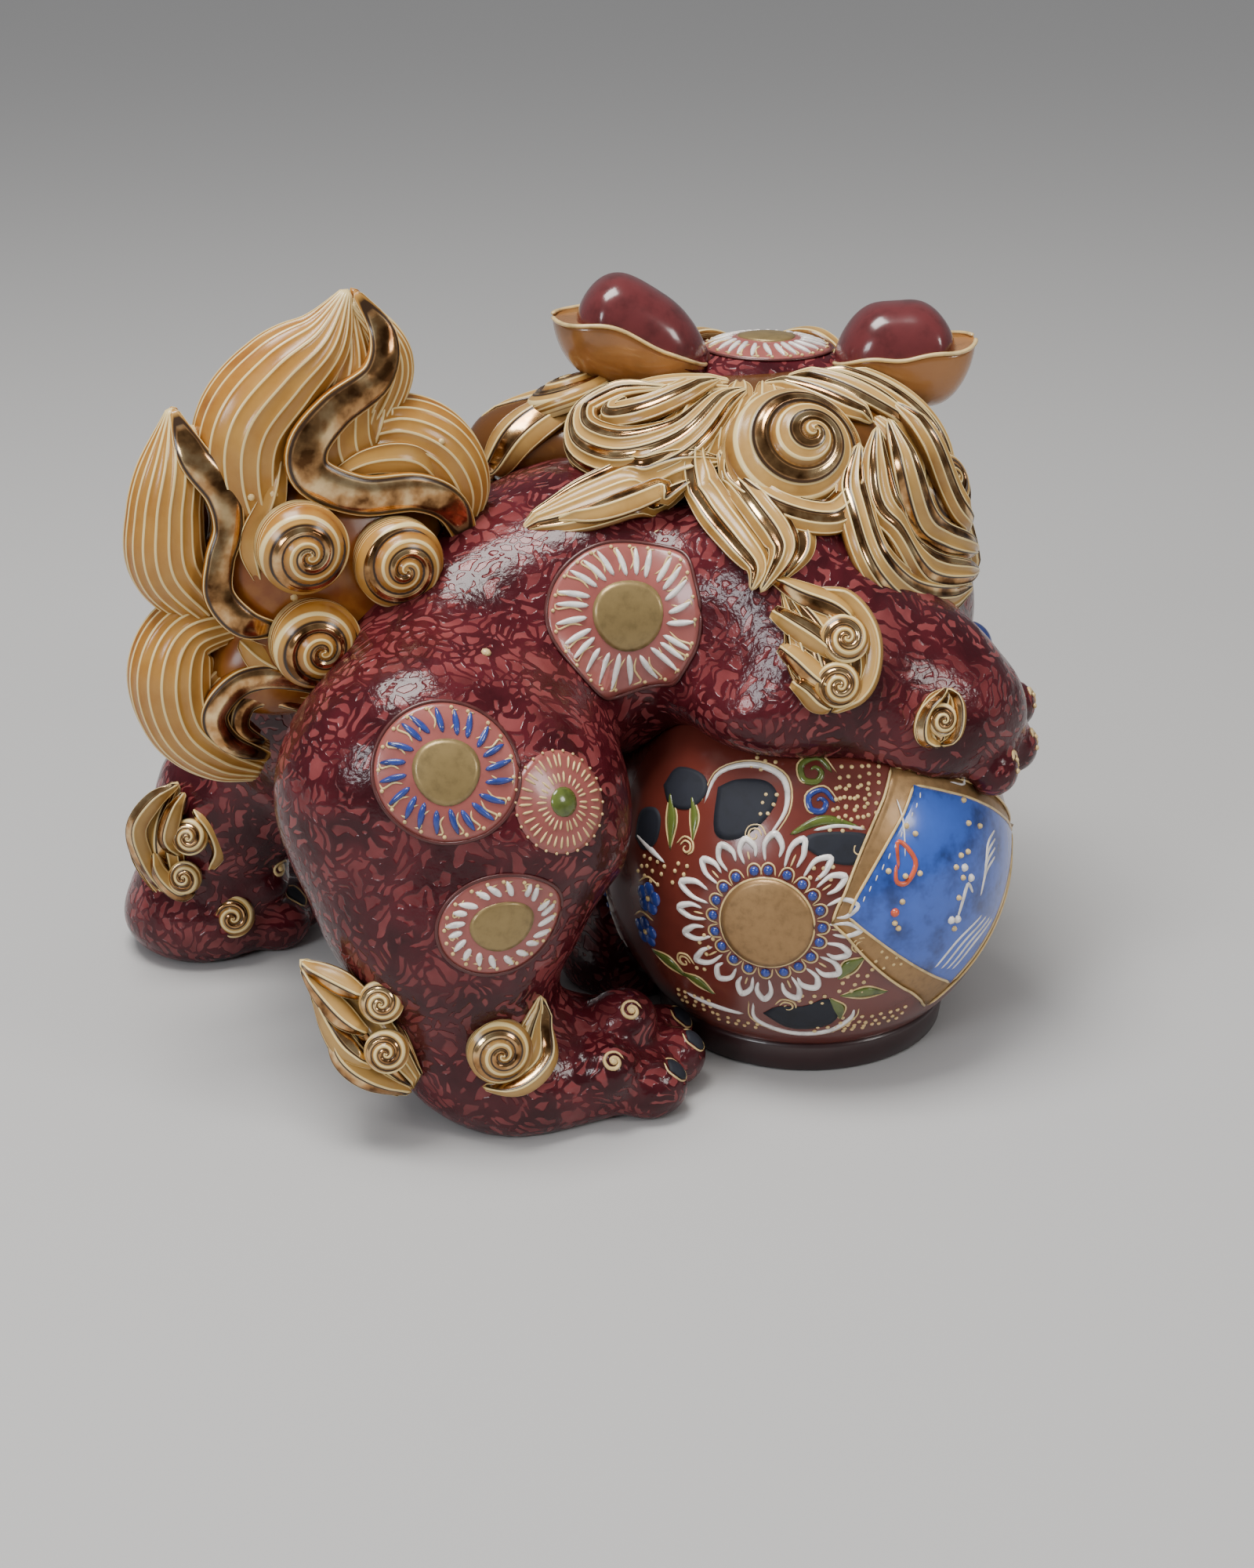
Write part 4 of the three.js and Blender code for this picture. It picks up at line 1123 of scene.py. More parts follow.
def neck_field(p):
    """What the locks lie on: the cape and the shoulders under it."""
    shoulders = [egg(p, *part) for part in (BARREL, CHEST, CREST, RIGHT_SHOULDER, BREAST, LEFT_SHOULDER)]
    return melt([cape_field(p)] + shoulders, 5.0)


def lock(knots, half, rise=2.6, lines=4, gilt=(1,), lift=0.2, count=46, blend=0.0, **rest):
    """A strand over the neck: its knots are kept, and only its out directions come from the surface."""
    points = flow(knots, count)
    on, out = drop(neck_field, points)
    points = points + (on - points) * blend + out * lift
    for _ in range(6):
        out[1:-1] = unit(out[:-2] + 2 * out[1:-1] + out[2:])
    return strand(points, out, half, rise, lines, gilt, **rest)


cape_points, cape_quads = skin(cape_field, (-28, -46, 122), (112, 60, 184), 1.6)
# Painted shade: the cape under the locks takes the darkest foot colour.
cape_painted_shade_tones = np.zeros((len(cape_points), 2))
cape_sheets = [(*plain(cape_points, cape_quads), cape_painted_shade_tones)]
# Fine combed hair between the big locks: short strands that fan out from the parting on the crown.
for knots, half in (
        ([(38, -8, 178), (24, -8, 177), (10, -3, 172), (0, 4, 168)], [2, 4, 4, 1.5]),
        ([(40, -2, 179), (28, 3, 179), (16, 8, 176), (6, 10, 172)], [2, 4.5, 4.5, 1.5]),
        ([(44, -14, 177), (36, -22, 172), (30, -28, 166), (27, -33, 160)], [2, 4.5, 4.5, 2]),
        ([(40, -12, 178), (28, -20, 172), (20, -25, 164), (16, -27, 156)], [2, 4.5, 4.5, 2]),
        ([(34, -12, 177), (20, -17, 171), (6, -18, 162), (-8, -17, 155)], [2, 4.5, 5, 2]),
        ([(74, -24, 173), (80, -32, 164), (82, -38, 152), (78, -44, 140)], [2, 4.5, 5, 2.5]),
        ([(70, -30, 172), (75, -38, 162), (76, -43, 150), (70, -48, 140)], [2, 4.5, 4.5, 2]),
        ([(58, -44, 150), (57, -52, 144), (60, -58, 136), (70, -60, 130)], [2, 4, 4, 2]),
        ([(31, 2, 179), (24, -3, 178), (14, -8, 175), (6, -8, 170)], [1.5, 4, 3.6, 1.5]),
        ([(37, -1, 179.5), (30, -8, 177), (22, -16, 174), (16, -20, 169)], [1.5, 4, 3.8, 1.5]),
        ([(42, -4, 179.5), (38, -12, 178), (31, -21, 173), (26, -27, 166)], [1.5, 4, 3.8, 1.5]),
        ([(48, -7, 179.5), (45, -16, 178), (40, -26, 172), (36, -31, 166)], [1.5, 4, 4, 1.5]),
        ([(54, -9, 180), (52, -18, 178), (49, -27, 174), (44, -32, 168)], [1.5, 4, 4, 1.5]),
        ([(60, -9, 180), (61, -18, 179), (60, -27, 175), (57, -34, 168)], [1.5, 4, 4, 1.5]),
        ([(20, -30, 158), (12, -32, 152), (4, -32, 146)], [1.5, 3, 1]),
        ([(36, -40, 154), (38, -48, 148), (36, -54, 142)], [2, 4, 1.5])):
    cape_sheets.append(lock(knots, half, 1.8, 4, (), blend=1.0, lift=-0.2))


def mane_piece(node, sheets):
    """One lock or curl of the mane, of its strands and coils."""
    dress(node + "_combed", sheets, MANE, "amber_glaze", node)


mane_piece("mane_cape", cape_sheets)
mane_piece("mane_left_curl", [
    lock([(40, -13, 178), (31, -16, 175), (17, -21, 168), (4, -15, 164), (-2, -2, 165), (2, 8, 170),
          (12, 6, 175), (23, 0, 177)], [1, 4.5, 7, 8, 7.5, 5.5, 4, 0.8], 4.0, 8, (1, 3, 5)),
    lock([(34, -8, 179), (22, -10, 176), (12, -9, 173), (6, -3, 171), (11, 2, 174)], [0.8, 4, 5, 4, 0.8], 3.2,
         5, (0, 2), lift=1.4)])
mane_piece("mane_leaf_lock", [
    lock([(28, -27, 163), (17, -24, 162), (7, -21, 158), (-9, -20, 153), (-20, -18, 149), (-27, -17, 147)],
         [1, 6.5, 9.5, 9, 5, 0.6], 4.2, 7, (1, 4)),
    lock([(18, -27, 160), (6, -26, 155), (-8, -25, 151), (-18, -21, 149)], [0.6, 3.4, 3.2, 0.6], 2.6, 3, (0,),
         lift=2.6)])
mane_piece("mane_middle_lock", [
    lock([(22, -22, 171), (19, -26, 163), (20, -37, 154), (22, -49, 148), (24, -56, 143), (21, -59, 138)],
         [1, 4.5, 5.5, 5, 3.5, 0.6], 3.0, 5, (1,)),
    lock([(26, -26, 166), (28, -33, 159), (29, -46, 154), (31, -53, 149), (30, -57, 145), (23, -60, 137.5)],
         [1, 4, 5, 5, 3.6, 0.6], 3.6, 5, (1, 3), lift=1.0),
    lock([(34, -29, 164), (36, -40, 157), (37, -50, 151), (36, -56, 146), (29, -60, 140)],
         [1, 4, 4.5, 3.5, 0.6], 2.8, 4, (1,))])
mane_piece("mane_big_curl", [
    snail((44, -32.5, 163.0), (-0.08, -0.80, 0.60), (0, 0.5, 0.85), 19.0, 9.5, 2.7, -1, gilt=0.85, sides=96,
          rows=72, stretch=0.98, spin=0.9, lines=3, shift=(5.0, 4.0)),
    lock([(31, -26, 172), (28, -33, 162), (33, -46, 155.5), (46, -52, 152.5), (56, -46, 157), (62, -41, 165)],
         [0.8, 4.5, 5.6, 5.2, 4.2, 0.8], 3.4, 5, (1, 3), lift=-0.2)])
mane_piece("mane_right_lock", [
    lock([(61, -39, 168), (55.8, -45.4, 157.2), (54, -54.1, 148.1), (57, -58.4, 139.5), (68, -54.5, 130),
          (84, -46.6, 124.6), (99, -38, 122.6)], [0.8, 5.5, 6.6, 7.2, 7.2, 6.4, 0.8], 4.2, 7, (1, 3, 5)),
    lock([(66, -38, 171), (63, -43, 160), (64.5, -48, 149), (70, -49.5, 138.5), (80, -46.5, 132.5),
          (90, -43, 129.5), (101, -35, 126)], [0.8, 5, 6, 6, 5.8, 4.6, 0.8], 4.2, 6, (1, 3, 4), lift=1.2),
    lock([(70, -36, 172), (71, -43.5, 161), (75, -44.5, 150), (81.7, -43, 141), (91, -40, 136),
          (102, -31, 130)],
         [0.8, 4.6, 5.4, 5.2, 4.4, 0.8], 4.2, 5, (0, 2), lift=1.6)])
mane_piece("mane_right_curl", [
    snail((89, -32.5, 150), (0.42, -0.80, 0.40), (0, 0.3, 1), 11.0, 6.0, 2.4, 1, gilt=0.9, shift=(2, 2)),
    lock([(76, -28, 174), (82, -35, 165.6), (87, -37, 154.6), (92, -38, 145), (98, -33, 136)],
         [0.8, 4.4, 5, 4.4, 0.8], 3.8, 5, (1, 3), lift=1.0),
    lock([(46, -10, 179), (55, -21, 178), (62, -29, 175.5), (68, -34, 172)], [0.8, 4.2, 4.6, 0.8], 3.4, 5,
         (1, 3), blend=0.8),
    lock([(54, -8, 180), (65, -18, 178.5), (73, -26, 175), (80, -32, 169)], [0.8, 4.2, 4.6, 0.8], 3.4, 5,
         (0, 2), blend=0.9),
    lock([(62, -8, 179), (75, -17, 176.5), (85, -25, 170), (92, -31, 160)], [0.8, 4.6, 5, 0.8], 3.6, 5, (1, 3),
         blend=0.9),
    lock([(70, -6, 177), (83, -13, 172), (93, -20, 162), (98, -26, 150)], [0.8, 4.6, 5, 0.8], 3.6, 5, (0, 2),
         blend=0.9)])
mane_piece("mane_front_lock", [
    lock([(88, -4, 168), (98, -8, 154), (104, -14, 138), (107, -24, 122)], [2, 6, 7, 0.8], 3.6, 6, (1, 3),
         blend=0.9),
    lock([(92, 10, 160), (100, 8, 146), (106, 4, 130), (108, -4, 116)], [2, 6, 7, 0.8], 3.6, 6, (1, 3),
         blend=0.9),
    lock([(94, -20, 158), (100, -26, 146), (104, -29, 134), (106, -32, 121)], [1, 4.5, 5, 0.8], 3.2, 5, (1,),
         blend=0.7)])
mane_piece("mane_left_side_lock", [
    lock([(22, 34, 168), (6, 38, 164), (-10, 38, 156), (-22, 30, 148)], [4, 9, 8, 1.5], 4.0, 5, (1, 3),
         blend=0.6),
    lock([(14, 16, 175), (0, 22, 169), (-12, 24, 160), (-24, 24, 150)], [2, 6, 7, 1.5], 3.4, 4, (1,),
         blend=0.6),
    lock([(18, 48, 160), (4, 52, 152), (-8, 48, 144), (-18, 40, 138)], [2, 6, 7, 1.5], 3.4, 4, (1,),
         blend=0.8)])
mane_piece("mane_left_side_curl", [
    snail((4, 27, 168.5), (-0.25, 0.25, 0.93), (0, 1, 0.2), 12.5, 6.5, 2.4, 1, gilt=0.8)])
mane_piece("mane_chest_lock", [
    lock([(104, 22, 152), (111, 26, 136), (112, 28, 118), (106, 30, 100)], [3, 8, 8, 1.5], 4.0, 5, (1, 3),
         blend=0.3),
    lock([(100, 38, 146), (102, 42, 130), (98, 44, 114), (90, 44, 100)], [2, 7, 7, 1.5], 3.6, 4, (1,),
         blend=0.8)])
mane_piece("mane_throat_lock", [
    lock([(22, 50, 152), (20, 54, 134), (26, 55, 116), (34, 54, 100)], [3, 8, 8, 1.5], 4.0, 5, (1, 3),
         blend=0.5),
    lock([(40, 52, 148), (40, 56, 132), (46, 57, 116), (54, 56, 102)], [2, 7, 7, 1.5], 3.6, 4, (1,), blend=0.8),
    lock([(62, 52, 146), (62, 55, 130), (68, 55, 116), (76, 52, 104)], [2, 7, 7, 1.5], 3.6, 4, (1,),
         blend=0.9)])

# ---- Head -----------------------------------------------------------------------------------
# A hollow head turned to the dog's left, worked out along its own forward, left and up directions:
# skull, muzzle and open jaw in the net glaze, and separate ears, eyes, brows, teeth and tongue.
HEAD_AT = np.array([62.0, 22.0, 152.0])
HEAD_TURN = np.radians(70.0)
HEAD_WAYS = np.array([[np.cos(HEAD_TURN), np.sin(HEAD_TURN), 0], [-np.sin(HEAD_TURN), np.cos(HEAD_TURN), 0],
                      [0, 0, 1]])


def on_head(flu):
    """Points given as forward, left and up of the head's middle."""
    return HEAD_AT + np.asarray(flu, float) @ HEAD_WAYS


def head_form(q):
    """Skull, cheeks, muzzle with its nostril wings, brow shelf and jaw, less the mouth and eye beds."""
    solid = [egg(q, (0, 0, 0), (37.6, 41, 31.5)), egg(q, (33, 0, -4), (27, 25, 16)),
             egg(q, (14, 24, -8), (20, 17, 18)), egg(q, (14, -24, -8), (20, 17, 18)),
             egg(q, (30, 0, 15), (16, 20, 9)), egg(q, (57, 0, 5), (8, 9, 6.5)),
             egg(q, (55, 8, 1), (6.5, 6, 5)), egg(q, (55, -8, 1), (6.5, 6, 5)),
             egg(q, (46, 11, -8), (12, 9, 7)), egg(q, (46, -11, -8), (12, 9, 7))]
    top = melt(solid, 6.0)
    jaw = melt([egg(q, (34, 0, -35), (26, 19, 8.5)), egg(q, (12, 0, -26), (22, 26, 15)),
                egg(q, (56, 0, -34), (7, 9, 6))], 6.0)
    both = melt([top, jaw], 4.0)
    mouth = egg(q, (50, 0, -22.5), (28, 18.5, 8.5))
    nostrils = np.minimum(egg(q, (62.5, 4.5, 3), (3.2, 2.4, 2.2)), egg(q, (62.5, -4.5, 3), (3.2, 2.4, 2.2)))
    eyes = np.minimum(egg(q, (38, 14, 8), (8.6, 8.6, 8.2)), egg(q, (38, -14, 8), (8.6, 8.6, 8.2)))
    return np.maximum.reduce([both, -mouth, -nostrils, -eyes])


def head_field(p):
    """The head where it stands."""
    return head_form((p - HEAD_AT) @ HEAD_WAYS.T)


head_points, head_quads = skin(head_form, (-40, -44, -46), (68, 44, 37), 1.2)
dress("glazed_head", [plain(on_head(head_points), head_quads)], maroon_web, "maroon_glaze", "head_shell",
      "lower_jaw", "nose")
medallion(Patch(head_field, (63, 23.5, 184), (0, 1, 0), reach=24.0), 20.0, 8.4, 24)


def head_strand(path, half, rise, lines, gilt=(), out=(0, 0, 1), count=30, **rest):
    """A strand whose path and out direction are given in the head's own directions."""
    points = on_head(flow(path, count))
    return strand(points, np.broadcast_to(unit(np.array(out, float) @ HEAD_WAYS), points.shape), half, rise,
                  lines, gilt, **rest)


EYE_WHITE = enamel("eye_ivory_enamel", (0.72, 0.66, 0.52), 0.2)
TONGUE_RED = enamel("tongue_red_enamel", (0.42, 0.045, 0.035), 0.22)
TOOTH = enamel("tooth_ivory_enamel", (0.78, 0.72, 0.60), 0.2)


def ball_sheet(centre, radii, sides=28, rows=16):
    """A closed ellipsoid about a point of the head."""
    up = np.linspace(0, np.pi, rows + 1)[1:-1, None]
    turn = np.arange(sides) * 2 * np.pi / sides
    unit_ball = np.stack(np.broadcast_arrays(np.sin(up) * np.cos(turn), np.sin(up) * np.sin(turn), np.cos(up)),
                         -1)
    radii = np.array(radii, float)
    return closed(on_head(centre + unit_ball * radii), on_head(centre + radii * [0, 0, 1]),
                  on_head(centre - radii * [0, 0, 1]))


def tooth_row(height, fang):
    """Eleven blunt teeth round the front of the mouth, each a small egg; the corner ones are fangs."""
    sheets = []
    for a in np.linspace(-1.25, 1.25, 11):
        place = np.array([42 + 16.5 * np.cos(a), 15.5 * np.sin(a), height])
        long = abs(abs(a) - 0.75) < 0.1
        sheets.append(ball_sheet(place + [0, 0, fang if long else 0], (1.9, 2.0, 5.6 if long else 3.4), 12, 8))
    return sheets


for side, s in (("left", 1), ("right", -1)):
    dress(f"{side}_eye_enamelled", [ball_sheet(np.array([36.6, s * 14, 8]), (7.8, 7.6, 7.4))], EYE_WHITE,
          "white_enamel", f"{side}_eye")
    pupil = make(f"{side}_pupil", [ball_sheet(np.array([42.2, s * 15.0, 8.4]), (2.9, 3.2, 3.2), 20, 12)], BLACK)
    sheets = [head_strand([(47, s * 4, 13), (44, s * 11, 18.5), (36, s * 20, 21), (27, s * 28, 17)],
                          [2.5, 5.5, 5.5, 1.5], 4.0, 4, (1,), (0.6, s * 0.25, 0.75)),
              head_strand([(45, s * 6, 2), (41.5, s * 15, -0.5), (34, s * 22, 3)], [1.2, 1.8, 1.0], 1.6, 2, (),
                          (0.7, s * 0.4, -0.5))]
    dress(f"{side}_brow_combed", sheets, MANE, "amber_glaze", f"{side}_brow")
    out = np.array([0.25, s * 0.95, 0.1]) @ HEAD_WAYS
    sheets = [snail(on_head((21, s * 33.5, -9)), out, (0, 0, 1), 10.5, 6.0, 2.4, s, gilt=0.8)]
    sheets.append(head_strand([(14, s * 36, 4), (8, s * 40, -4), (4, s * 40, -16), (10, s * 36, -26)],
                              [2, 5, 5, 1.5], 3.4, 4, (1,), (-0.1, s, 0.0)))
    dress(f"{side}_cheek_curl_coiled", sheets, MANE, "amber_glaze", f"{side}_cheek_curl")

dress("upper_teeth_enamelled", tooth_row(-16.2, -2.6), TOOTH, "white_enamel", "upper_teeth")
dress("lower_teeth_enamelled", tooth_row(-29.2, 2.4), TOOTH, "white_enamel", "lower_teeth")
dress("tongue_enamelled", [head_strand([(28, 0, -27), (42, 0, -26), (53, 0, -25), (60, 0, -28)],
                                               [7, 8.5, 8, 3], 2.6, 2, ())], TONGUE_RED, "red_enamel", "tongue")
dress("beard_combed", [
    head_strand([(46, 0, -40), (45, 0, -50), (50, 0, -61)], [9, 9, 1.5], 4.0, 5, (1, 3), (1, 0, 0)),
    head_strand([(40, 9, -38), (38, 12, -48), (42, 12, -57)], [5, 6, 1], 3.6, 4, (1,), (0.8, 0.6, 0)),
    head_strand([(40, -9, -38), (38, -12, -48), (42, -12, -57)], [5, 6, 1], 3.6, 4, (1,),
                (0.8, -0.6, 0))], MANE, "amber_glaze", "beard")

# Ears: a glossy maroon cap over an ochre cup, with a wavy cream rim where they meet.
EAR_OCHRE = enamel("ear_ochre_glaze", (0.34, 0.145, 0.042), 0.25, mottle=0.3, scale=55.0, dark=0.5)
EAR_CAP = enamel("ear_maroon_glaze", (0.115, 0.022, 0.024), 0.22, mottle=0.25, scale=160.0)
# From root to tip, the height of the rim and the depth of the cup; then the cap's middle, reach and
# height; and the ear's length.
EAR_SHAPES = {
    "left": ([26, 32.5, 37.5, 40, 40.5], [8, 15, 19, 18, 14], (0.40, 0.45, 16.8), 43),
    "right": ([26, 30.5, 30, 31.5, 33.5], [8, 13, 17, 18, 15], (0.43, 0.43, 16.4), 40)}
for side, s in (("left", 1), ("right", -1)):
    t = (1 - np.cos(np.linspace(0.03, np.pi - 0.03, 56))) / 2
    rim, deep = (flow(v, 401)[:, 0][np.round(t * 400).astype(int)] for v in EAR_SHAPES[side][:2])
    (middle, reach, tall), long = EAR_SHAPES[side][2:]
    blunt = np.sqrt(1 - np.abs(2 * t - 1) ** 4)
    wide = 14.0 * blunt
    rim = rim + 0.7 * np.sin(11 * t + 1)
    centre = np.stack([-10.5 + 0 * t, s * (18 + long * t), rim], -1)
    a = np.linspace(0, np.pi, 40)
    bottom = centre[:, None] + np.stack(np.broadcast_arrays(
        wide[:, None] * np.cos(a), 0 * a, -(deep * blunt)[:, None] * np.sin(a) ** 0.85), -1)
    lid = np.linspace(bottom[:, -1], bottom[:, 0], 6, axis=1)[:, 1:-1] - [0, 0, 0.6]
    cup = on_head(np.concatenate([bottom, lid], 1)[:, ::-1])
    tc = middle + reach * np.cos(np.linspace(np.pi - 0.02, 0.02, 44))
    swell = np.sqrt(1 - ((tc - middle) / reach) ** 2)
    floor_at = np.interp(tc, t, rim)
    spine = np.stack([-10.5 + 0 * tc, s * (18 + long * tc), floor_at], -1)
    across = np.minimum(13.7 * np.interp(tc, t, blunt), 17.0 * swell ** 0.8)
    top = spine[:, None] + np.stack(np.broadcast_arrays(
        across[:, None] * np.sign(np.cos(a)) * np.abs(np.cos(a)) ** 0.85, 0 * a,
        (tall * swell)[:, None] * np.sin(a) ** 0.8), -1) - [0, 0, 3.0]
    under = np.linspace(top[:, -1], top[:, 0], 6, axis=1)[:, 1:-1] - [0, 0, 0.8]
    cap = on_head(np.concatenate([top, under], 1))
    for part, rings, material, slot in (("cap", cap, EAR_CAP, "maroon_glaze"),
                                        ("cup", cup, EAR_OCHRE, "amber_glaze")):
        ear = make(f"{side}_ear_{part}", [closed(rings[1:-1], rings[0].mean(0), rings[-1].mean(0))], material)
        if part == "cap":
            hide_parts(f"{side}_ear")
    for way in (-1, 1):
        edge = centre + np.stack([way * (wide + 0.2), 0 * t, 0 * t], -1)
        strokes["cream"].append(trail(on_head(edge[1:-1]), np.array([0, 0, 1.0]), 0.7, 0.6, 8))

# ---- Tufts and curls on the legs -------------------------------------------------------------
# Small press-moulded sprays luted on behind the elbows and hocks, snail curls on the ankles and
# the raised paw, cream whorls on the knuckles and dark claw marks with cream outlines.


def spray(field, locks, curls, node, hug=1.0, facing=None):
    """A tuft: strands laid on the leg, or standing free and facing one way, with snail curls on them."""
    sheets = []
    for knots, half, gilt in locks:
        points = flow(knots, 34)
        on, out = drop(field, points)
        points = points + hug * (on - points)
        out = out if facing is None else np.broadcast_to(unit(np.array(facing, float)), points.shape).copy()
        for _ in range(8):
            out[1:-1] = unit(out[:-2] + 2 * out[1:-1] + out[2:])
        lines = max(3, int(max(half) / 1.1))
        rise = 3.6 if max(half) < 4 else 1.6
        sheets.append(strand(points, out, half, rise, lines, gilt, rim=0.08, sink=4.0 / rise))
    for place, out, radius, hand in curls:
        if hug:
            place, out = drop(field, np.array([place], float))
            place, out = place[0] + 0.8 * out[0], out[0]
        sheets.append(snail(place, out, (0, 0, 1), radius, radius * 0.5, 2.1, hand, gilt=1.0, sides=48,
                            rows=30))
    dress(node + "_combed", sheets, MANE, "amber_glaze", node)


spray(body_field, [
    ([(29, -61, 139), (35, -69, 128), (36, -76, 118), (36, -79, 111)], [1, 9.5, 9.5, 2.5], (0, 2, 3, 5, 7)),
    ([(26, -58, 141), (33, -64, 137), (40, -68, 133), (44, -71, 128)], [0.8, 3.2, 3.4, 1.5], (0,)),
    ([(25.5, -62, 133), (29.5, -67, 130), (34, -71, 126.5), (38, -74, 122.5)], [1.8, 3.2, 3.4, 1.5], (1,)),
    ([(25.8, -67, 125), (29, -71, 122), (32, -75, 118.5), (36, -77, 115)], [1.8, 3.2, 3.4, 1.5], (0,)),
    ([(27, -72, 117), (29.5, -75, 115), (31.5, -78, 112.5), (35, -79, 110.5)], [1.6, 2.8, 3, 1.2], (1,)),
    ([(37, -64.6, 138), (43.8, -68.6, 135.5), (47.5, -73.5, 128.5), (46.5, -77, 120), (42.7, -79.3, 114),
      (35, -79, 109.5)], [0.8, 2.4, 2.6, 2.6, 2.4, 0.8], ())],
    [((40, -74, 127), (0, 0, 0), 6.4, 1), ((37, -77, 116.5), (0, 0, 0), 6.0, 1)], "right_elbow_tuft")
spray(body_field, [
    ([(68.6, -78, 110.5), (65.5, -79, 107), (64.5, -80, 102.5), (65.6, -80.7, 97.5)], [0.8, 4.4, 5.4, 1.2],
     (1, 3)),
    ([(68.6, -78, 110.8), (61.5, -79, 106), (61, -79.3, 100), (65.6, -80.7, 97.2)], [0.8, 1.8, 2.2, 0.8], (0,)),
    ([(68.6, -78, 110.8), (70.5, -79, 106), (69.5, -80, 100), (65.6, -80.7, 97.2)], [0.8, 1.8, 1.8, 0.8],
     (0,))],
    [((65.5, -79.4, 103.5), (0, 0, 0), 4.4, 1)], "right_paw_curl")
spray(body_field, [
    ([(24, 54, 128), (30, 57, 122), (38, 60, 116)], [1, 4.5, 2], (0,)),
    ([(24, 54, 118), (30, 58, 112), (38, 60, 106)], [1, 4.5, 2], (1,)),
    ([(30, 54, 133), (42, 57, 128), (48, 58, 116), (44, 57, 98)], [1, 4.5, 4.5, 1], (0, 2))],
    [((40, 57, 120), (0, 1, 0.1), 7, 1), ((38, 57, 106), (0, 1, 0.1), 6.4, -1)], "left_elbow_tuft")
spray(body_field, [
    ([(-101.5, -51.5, 51.5), (-95, -55, 44), (-90, -60, 35), (-85, -64, 26), (-77, -67, 16)],
     [0.8, 6, 9.5, 9.5, 4], (0, 3, 6)),
    ([(-101.5, -53, 51.5), (-97, -56, 49), (-92, -60, 46.5), (-87, -64, 44)], [0.8, 2.8, 3.2, 1.2], (0,)),
    ([(-101.5, -53, 50), (-97, -57, 43), (-93, -61, 38), (-88, -65, 34)], [0.8, 3, 3.4, 1.2], (0,)),
    ([(-99, -54, 43.5), (-96, -58, 35), (-93, -62, 29.5), (-87, -67, 25)], [0.8, 3, 3.4, 1.2], (1,)),
    ([(-96, -57.5, 34), (-94, -61, 26), (-88, -65, 20.5), (-78, -68.5, 16)], [0.8, 3, 3.2, 1], (0,))],
    [((-84.2, -66, 43.2), (-0.35, -0.9, 0.25), 5.8, 1), ((-84.3, -69, 30.2), (-0.35, -0.9, 0.25), 5.8, 1)],
    "right_hock_tuft", 0.0, (-0.35, -0.88, 0.3))
spray(body_field, [
    ([(-43.5, -73, 40), (-45, -76, 33), (-49, -78, 25), (-58, -78, 20)], [0.8, 4.5, 7, 2], (1, 3)),
    ([(-42.5, -73, 39), (-42, -76, 32), (-44, -79, 24), (-52, -80.5, 19), (-62, -78, 19)],
     [0.8, 2.2, 2.6, 2.6, 0.8], (0,))],
    [((-56.5, -76, 28.5), (0, 0, 0), 8.6, 1)], "right_ankle_curl")
spray(body_field, [
    ([(-111, 51, 61), (-117, 50, 52), (-119, 51, 42), (-117.5, 53, 31), (-115.5, 55, 20)], [1, 6.5, 8.5, 7, 2],
     (0, 3, 5)),
    ([(-111, 49, 61), (-118.5, 49, 57), (-124, 51, 48), (-122, 53, 36), (-116, 55, 22)],
     [0.8, 2.8, 3.2, 3, 0.8], (0,)),
    ([(-110, 47, 59), (-114, 46, 53), (-116, 47, 45), (-113, 47, 39)], [0.8, 2.8, 3, 1], (0,)),
    ([(-108, 46, 54), (-104, 44, 48), (-102, 44, 40), (-105, 46, 33)], [0.8, 2.6, 2.8, 1], (0,)),
    ([(-120, 50, 40), (-118, 50, 32), (-113, 49, 26), (-108, 49, 27)], [0.8, 2.6, 2.8, 1], (0,))],
    [((-110, 44, 46), (-0.45, -0.85, 0.3), 5.4, 1), ((-112, 46.5, 32), (-0.45, -0.85, 0.3), 5.0, -1)],
    "left_hock_tuft", 0.0, (-0.45, -0.85, 0.3))
spray(body_field, [
    ([(-90, 84, 38), (-84, 85, 32), (-84, 86, 24), (-90, 86, 18)], [1, 4, 4, 1], (0,))],
    [((-97, 83, 28), (0, 1, 0.15), 9.5, -1)], "left_ankle_curl")
make("left_ankle_back_curl", [snail((-99, 46, 17), (-0.2, -1, 0.2), (0, 0, 1), 6.5, 3.2, 2.0, 1)],
             MANE)

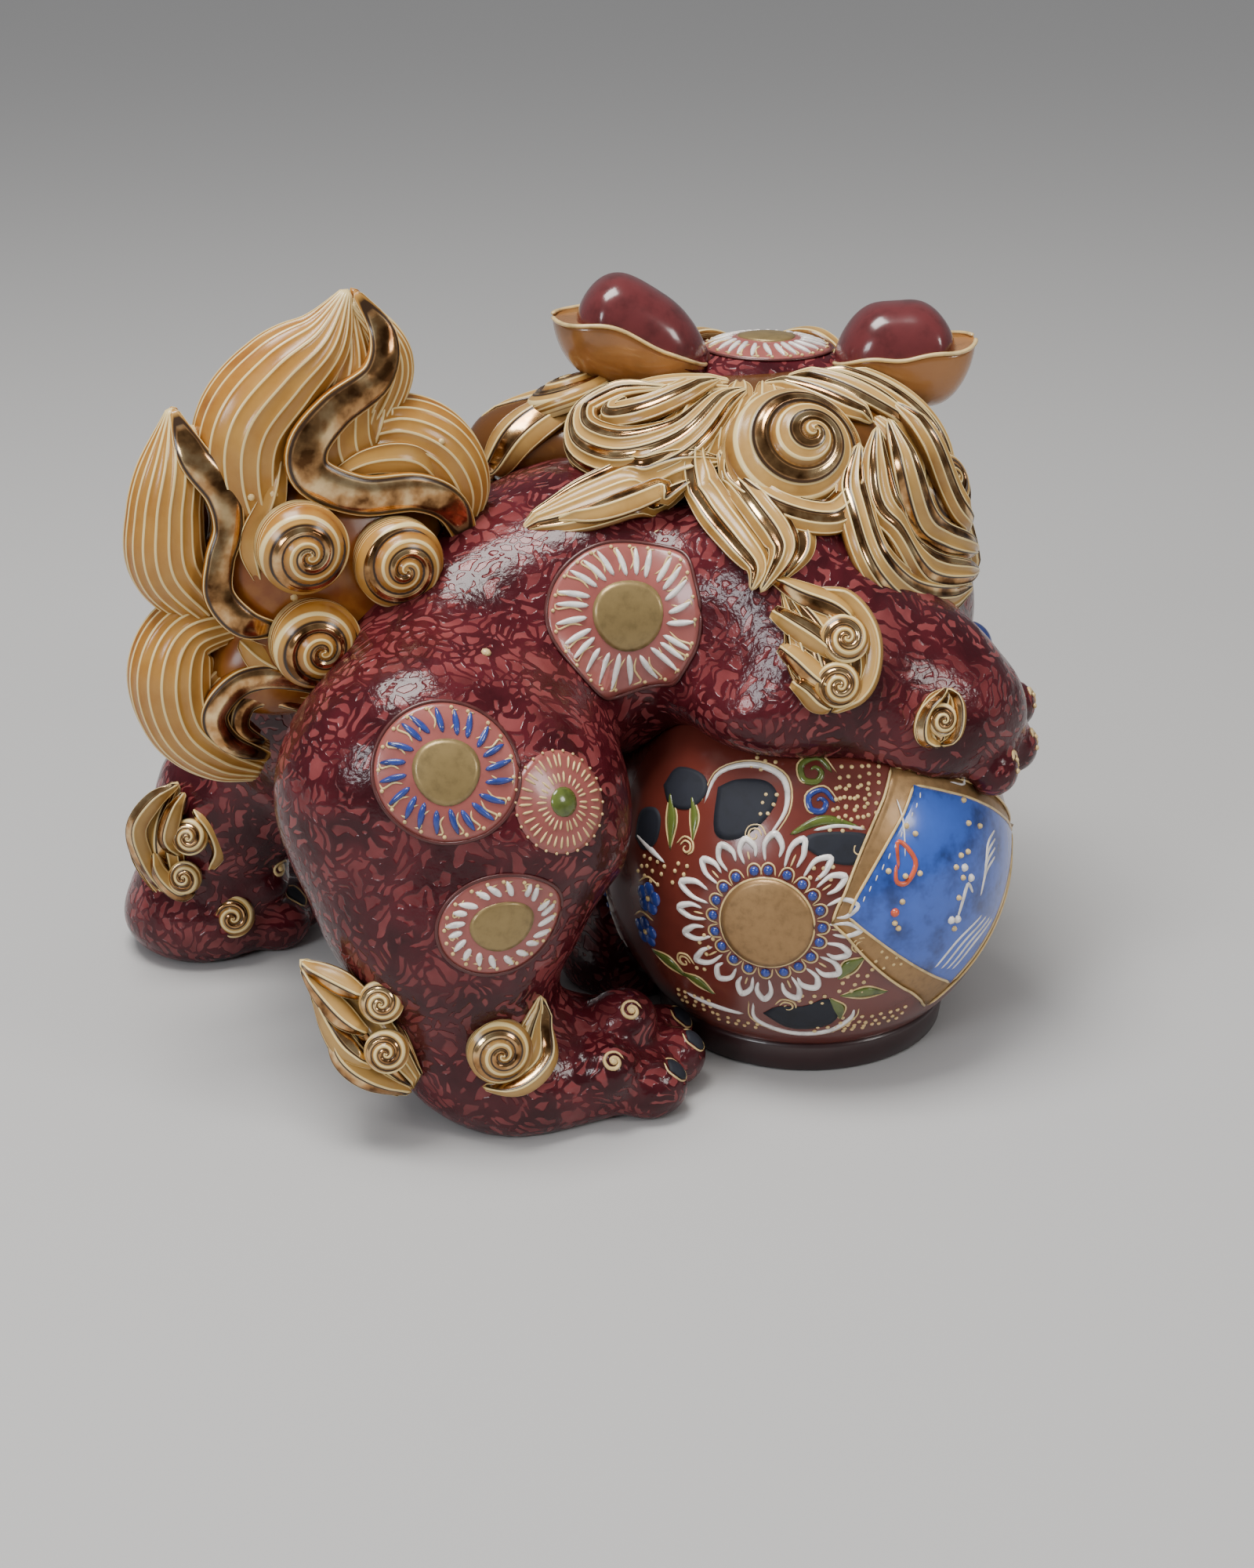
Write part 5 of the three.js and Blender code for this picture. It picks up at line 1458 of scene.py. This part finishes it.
for x, y, z, size in KNUCKLES:
    patch = on_body((x, y - 0.7 * size, z + 0.7 * size) if y < 0 else (x, y + 1, z + size), reach=5.0)
    a = np.linspace(0, 3.4 * np.pi, 24)
    spiral = np.stack([(3.4 - 0.30 * a) * np.cos(a), (3.4 - 0.30 * a) * np.sin(a)], -1)
    strokes["cream"].append(patch.line(spiral[::2], [0.45, 0.6, 0.7], 0.5, 30))
    strokes["cream"].extend(patch.dots([(0, 0)], 1.1, 0.9))
for name, row in TOES.items():
    for x, y, z in row:
        way = {"right_hind": (0.9, -0.3), "left_hind": (0.8, 0.3), "left_fore": (0.9, 0.2)}[name]
        patch = on_body((x + 6 * way[0], y + 6 * way[1], z + 5), reach=6.0)
        shape = np.array([(-3.0, 1.5), (0, 3.2), (3.0, 1.5), (2.2, -2.6), (0, -4.0), (-2.2, -2.6)])
        strokes["claw"].append(patch.plate(flow(np.vstack([shape, shape[:1]]), 25)[:-1], 0.3, 0.4, 4))
        for s in (-1, 1):
            strokes["cream"].append(patch.line([(s * 1.2, 4.2), (s * 3.6, 1.6), (s * 2.6, -3.0), (0, -4.8)],
                                               0.3, 0.45))
for x, y, z in PAW_TOES:
    patch = on_body((x + 6, y - 4, z + 3), reach=6.0)
    strokes["cream"].append(patch.line([(-2.2, 1.5), (0, 3), (2.2, 1), (0.5, -2.2)], [0.5, 0.8, 0.6, 0.4], 0.5,
                                       14))
    strokes["cream"].extend(patch.dots([(0.2, 0.6), (-1.8, -2.0)], 0.8, 0.7))

for name, key, material, slot in (
        ("medallion_rose_discs", "rose", ROSE, "maroon_glaze"), ("medallion_gilt_eyes", "eye", OLIVE_GOLD,
                                                                 "amber_glaze"),
        ("medallion_green_eyes", "green", LEAF_GREEN, "brocade_glaze"), ("medallion_rims", "umber", UMBER,
                                                                         "maroon_glaze"),
        ("painted_white_strokes", "white", WHITE, "white_enamel"), ("painted_cream_strokes", "cream", CREAM,
                                                                    "amber_glaze"),
        ("painted_blue_strokes", "blue", COBALT, "blue_enamel"), ("claw_marks", "claw", BLACK, "dark_glaze")):
    make(name, strokes[key], material)

# ---- Chest bell -----------------------------------------------------------------------------
# A cobalt bell bead of clay with a raised band round it, hung from the breast on a short ribbon of
# slip, both dipped in blue enamel.
bell_at = np.array([118.0, -6.0, 91.0])
bell_profile = [(0, 83.4)] + [(7.6 * np.cos(a) + (0.5 if abs(a) < 0.12 else 0), 91 + 7.6 * np.sin(a))
                              for a in np.linspace(-1.4, 1.4, 34)] + [(0, 98.6)]
ribbon = flow([(101, -8, 108), (108, -7.5, 105), (114, -7, 100), (117.5, -6, 95)], 24)
bow = strand(ribbon, unit(np.broadcast_to([0.7, -0.2, 0.7], ribbon.shape)), [4, 4.5, 4, 3], 2.2, 3)
dress("chest_bell_enamelled", [turned(bell_profile, bell_at, 48), bow], COBALT, "blue_enamel", "chest_bell")
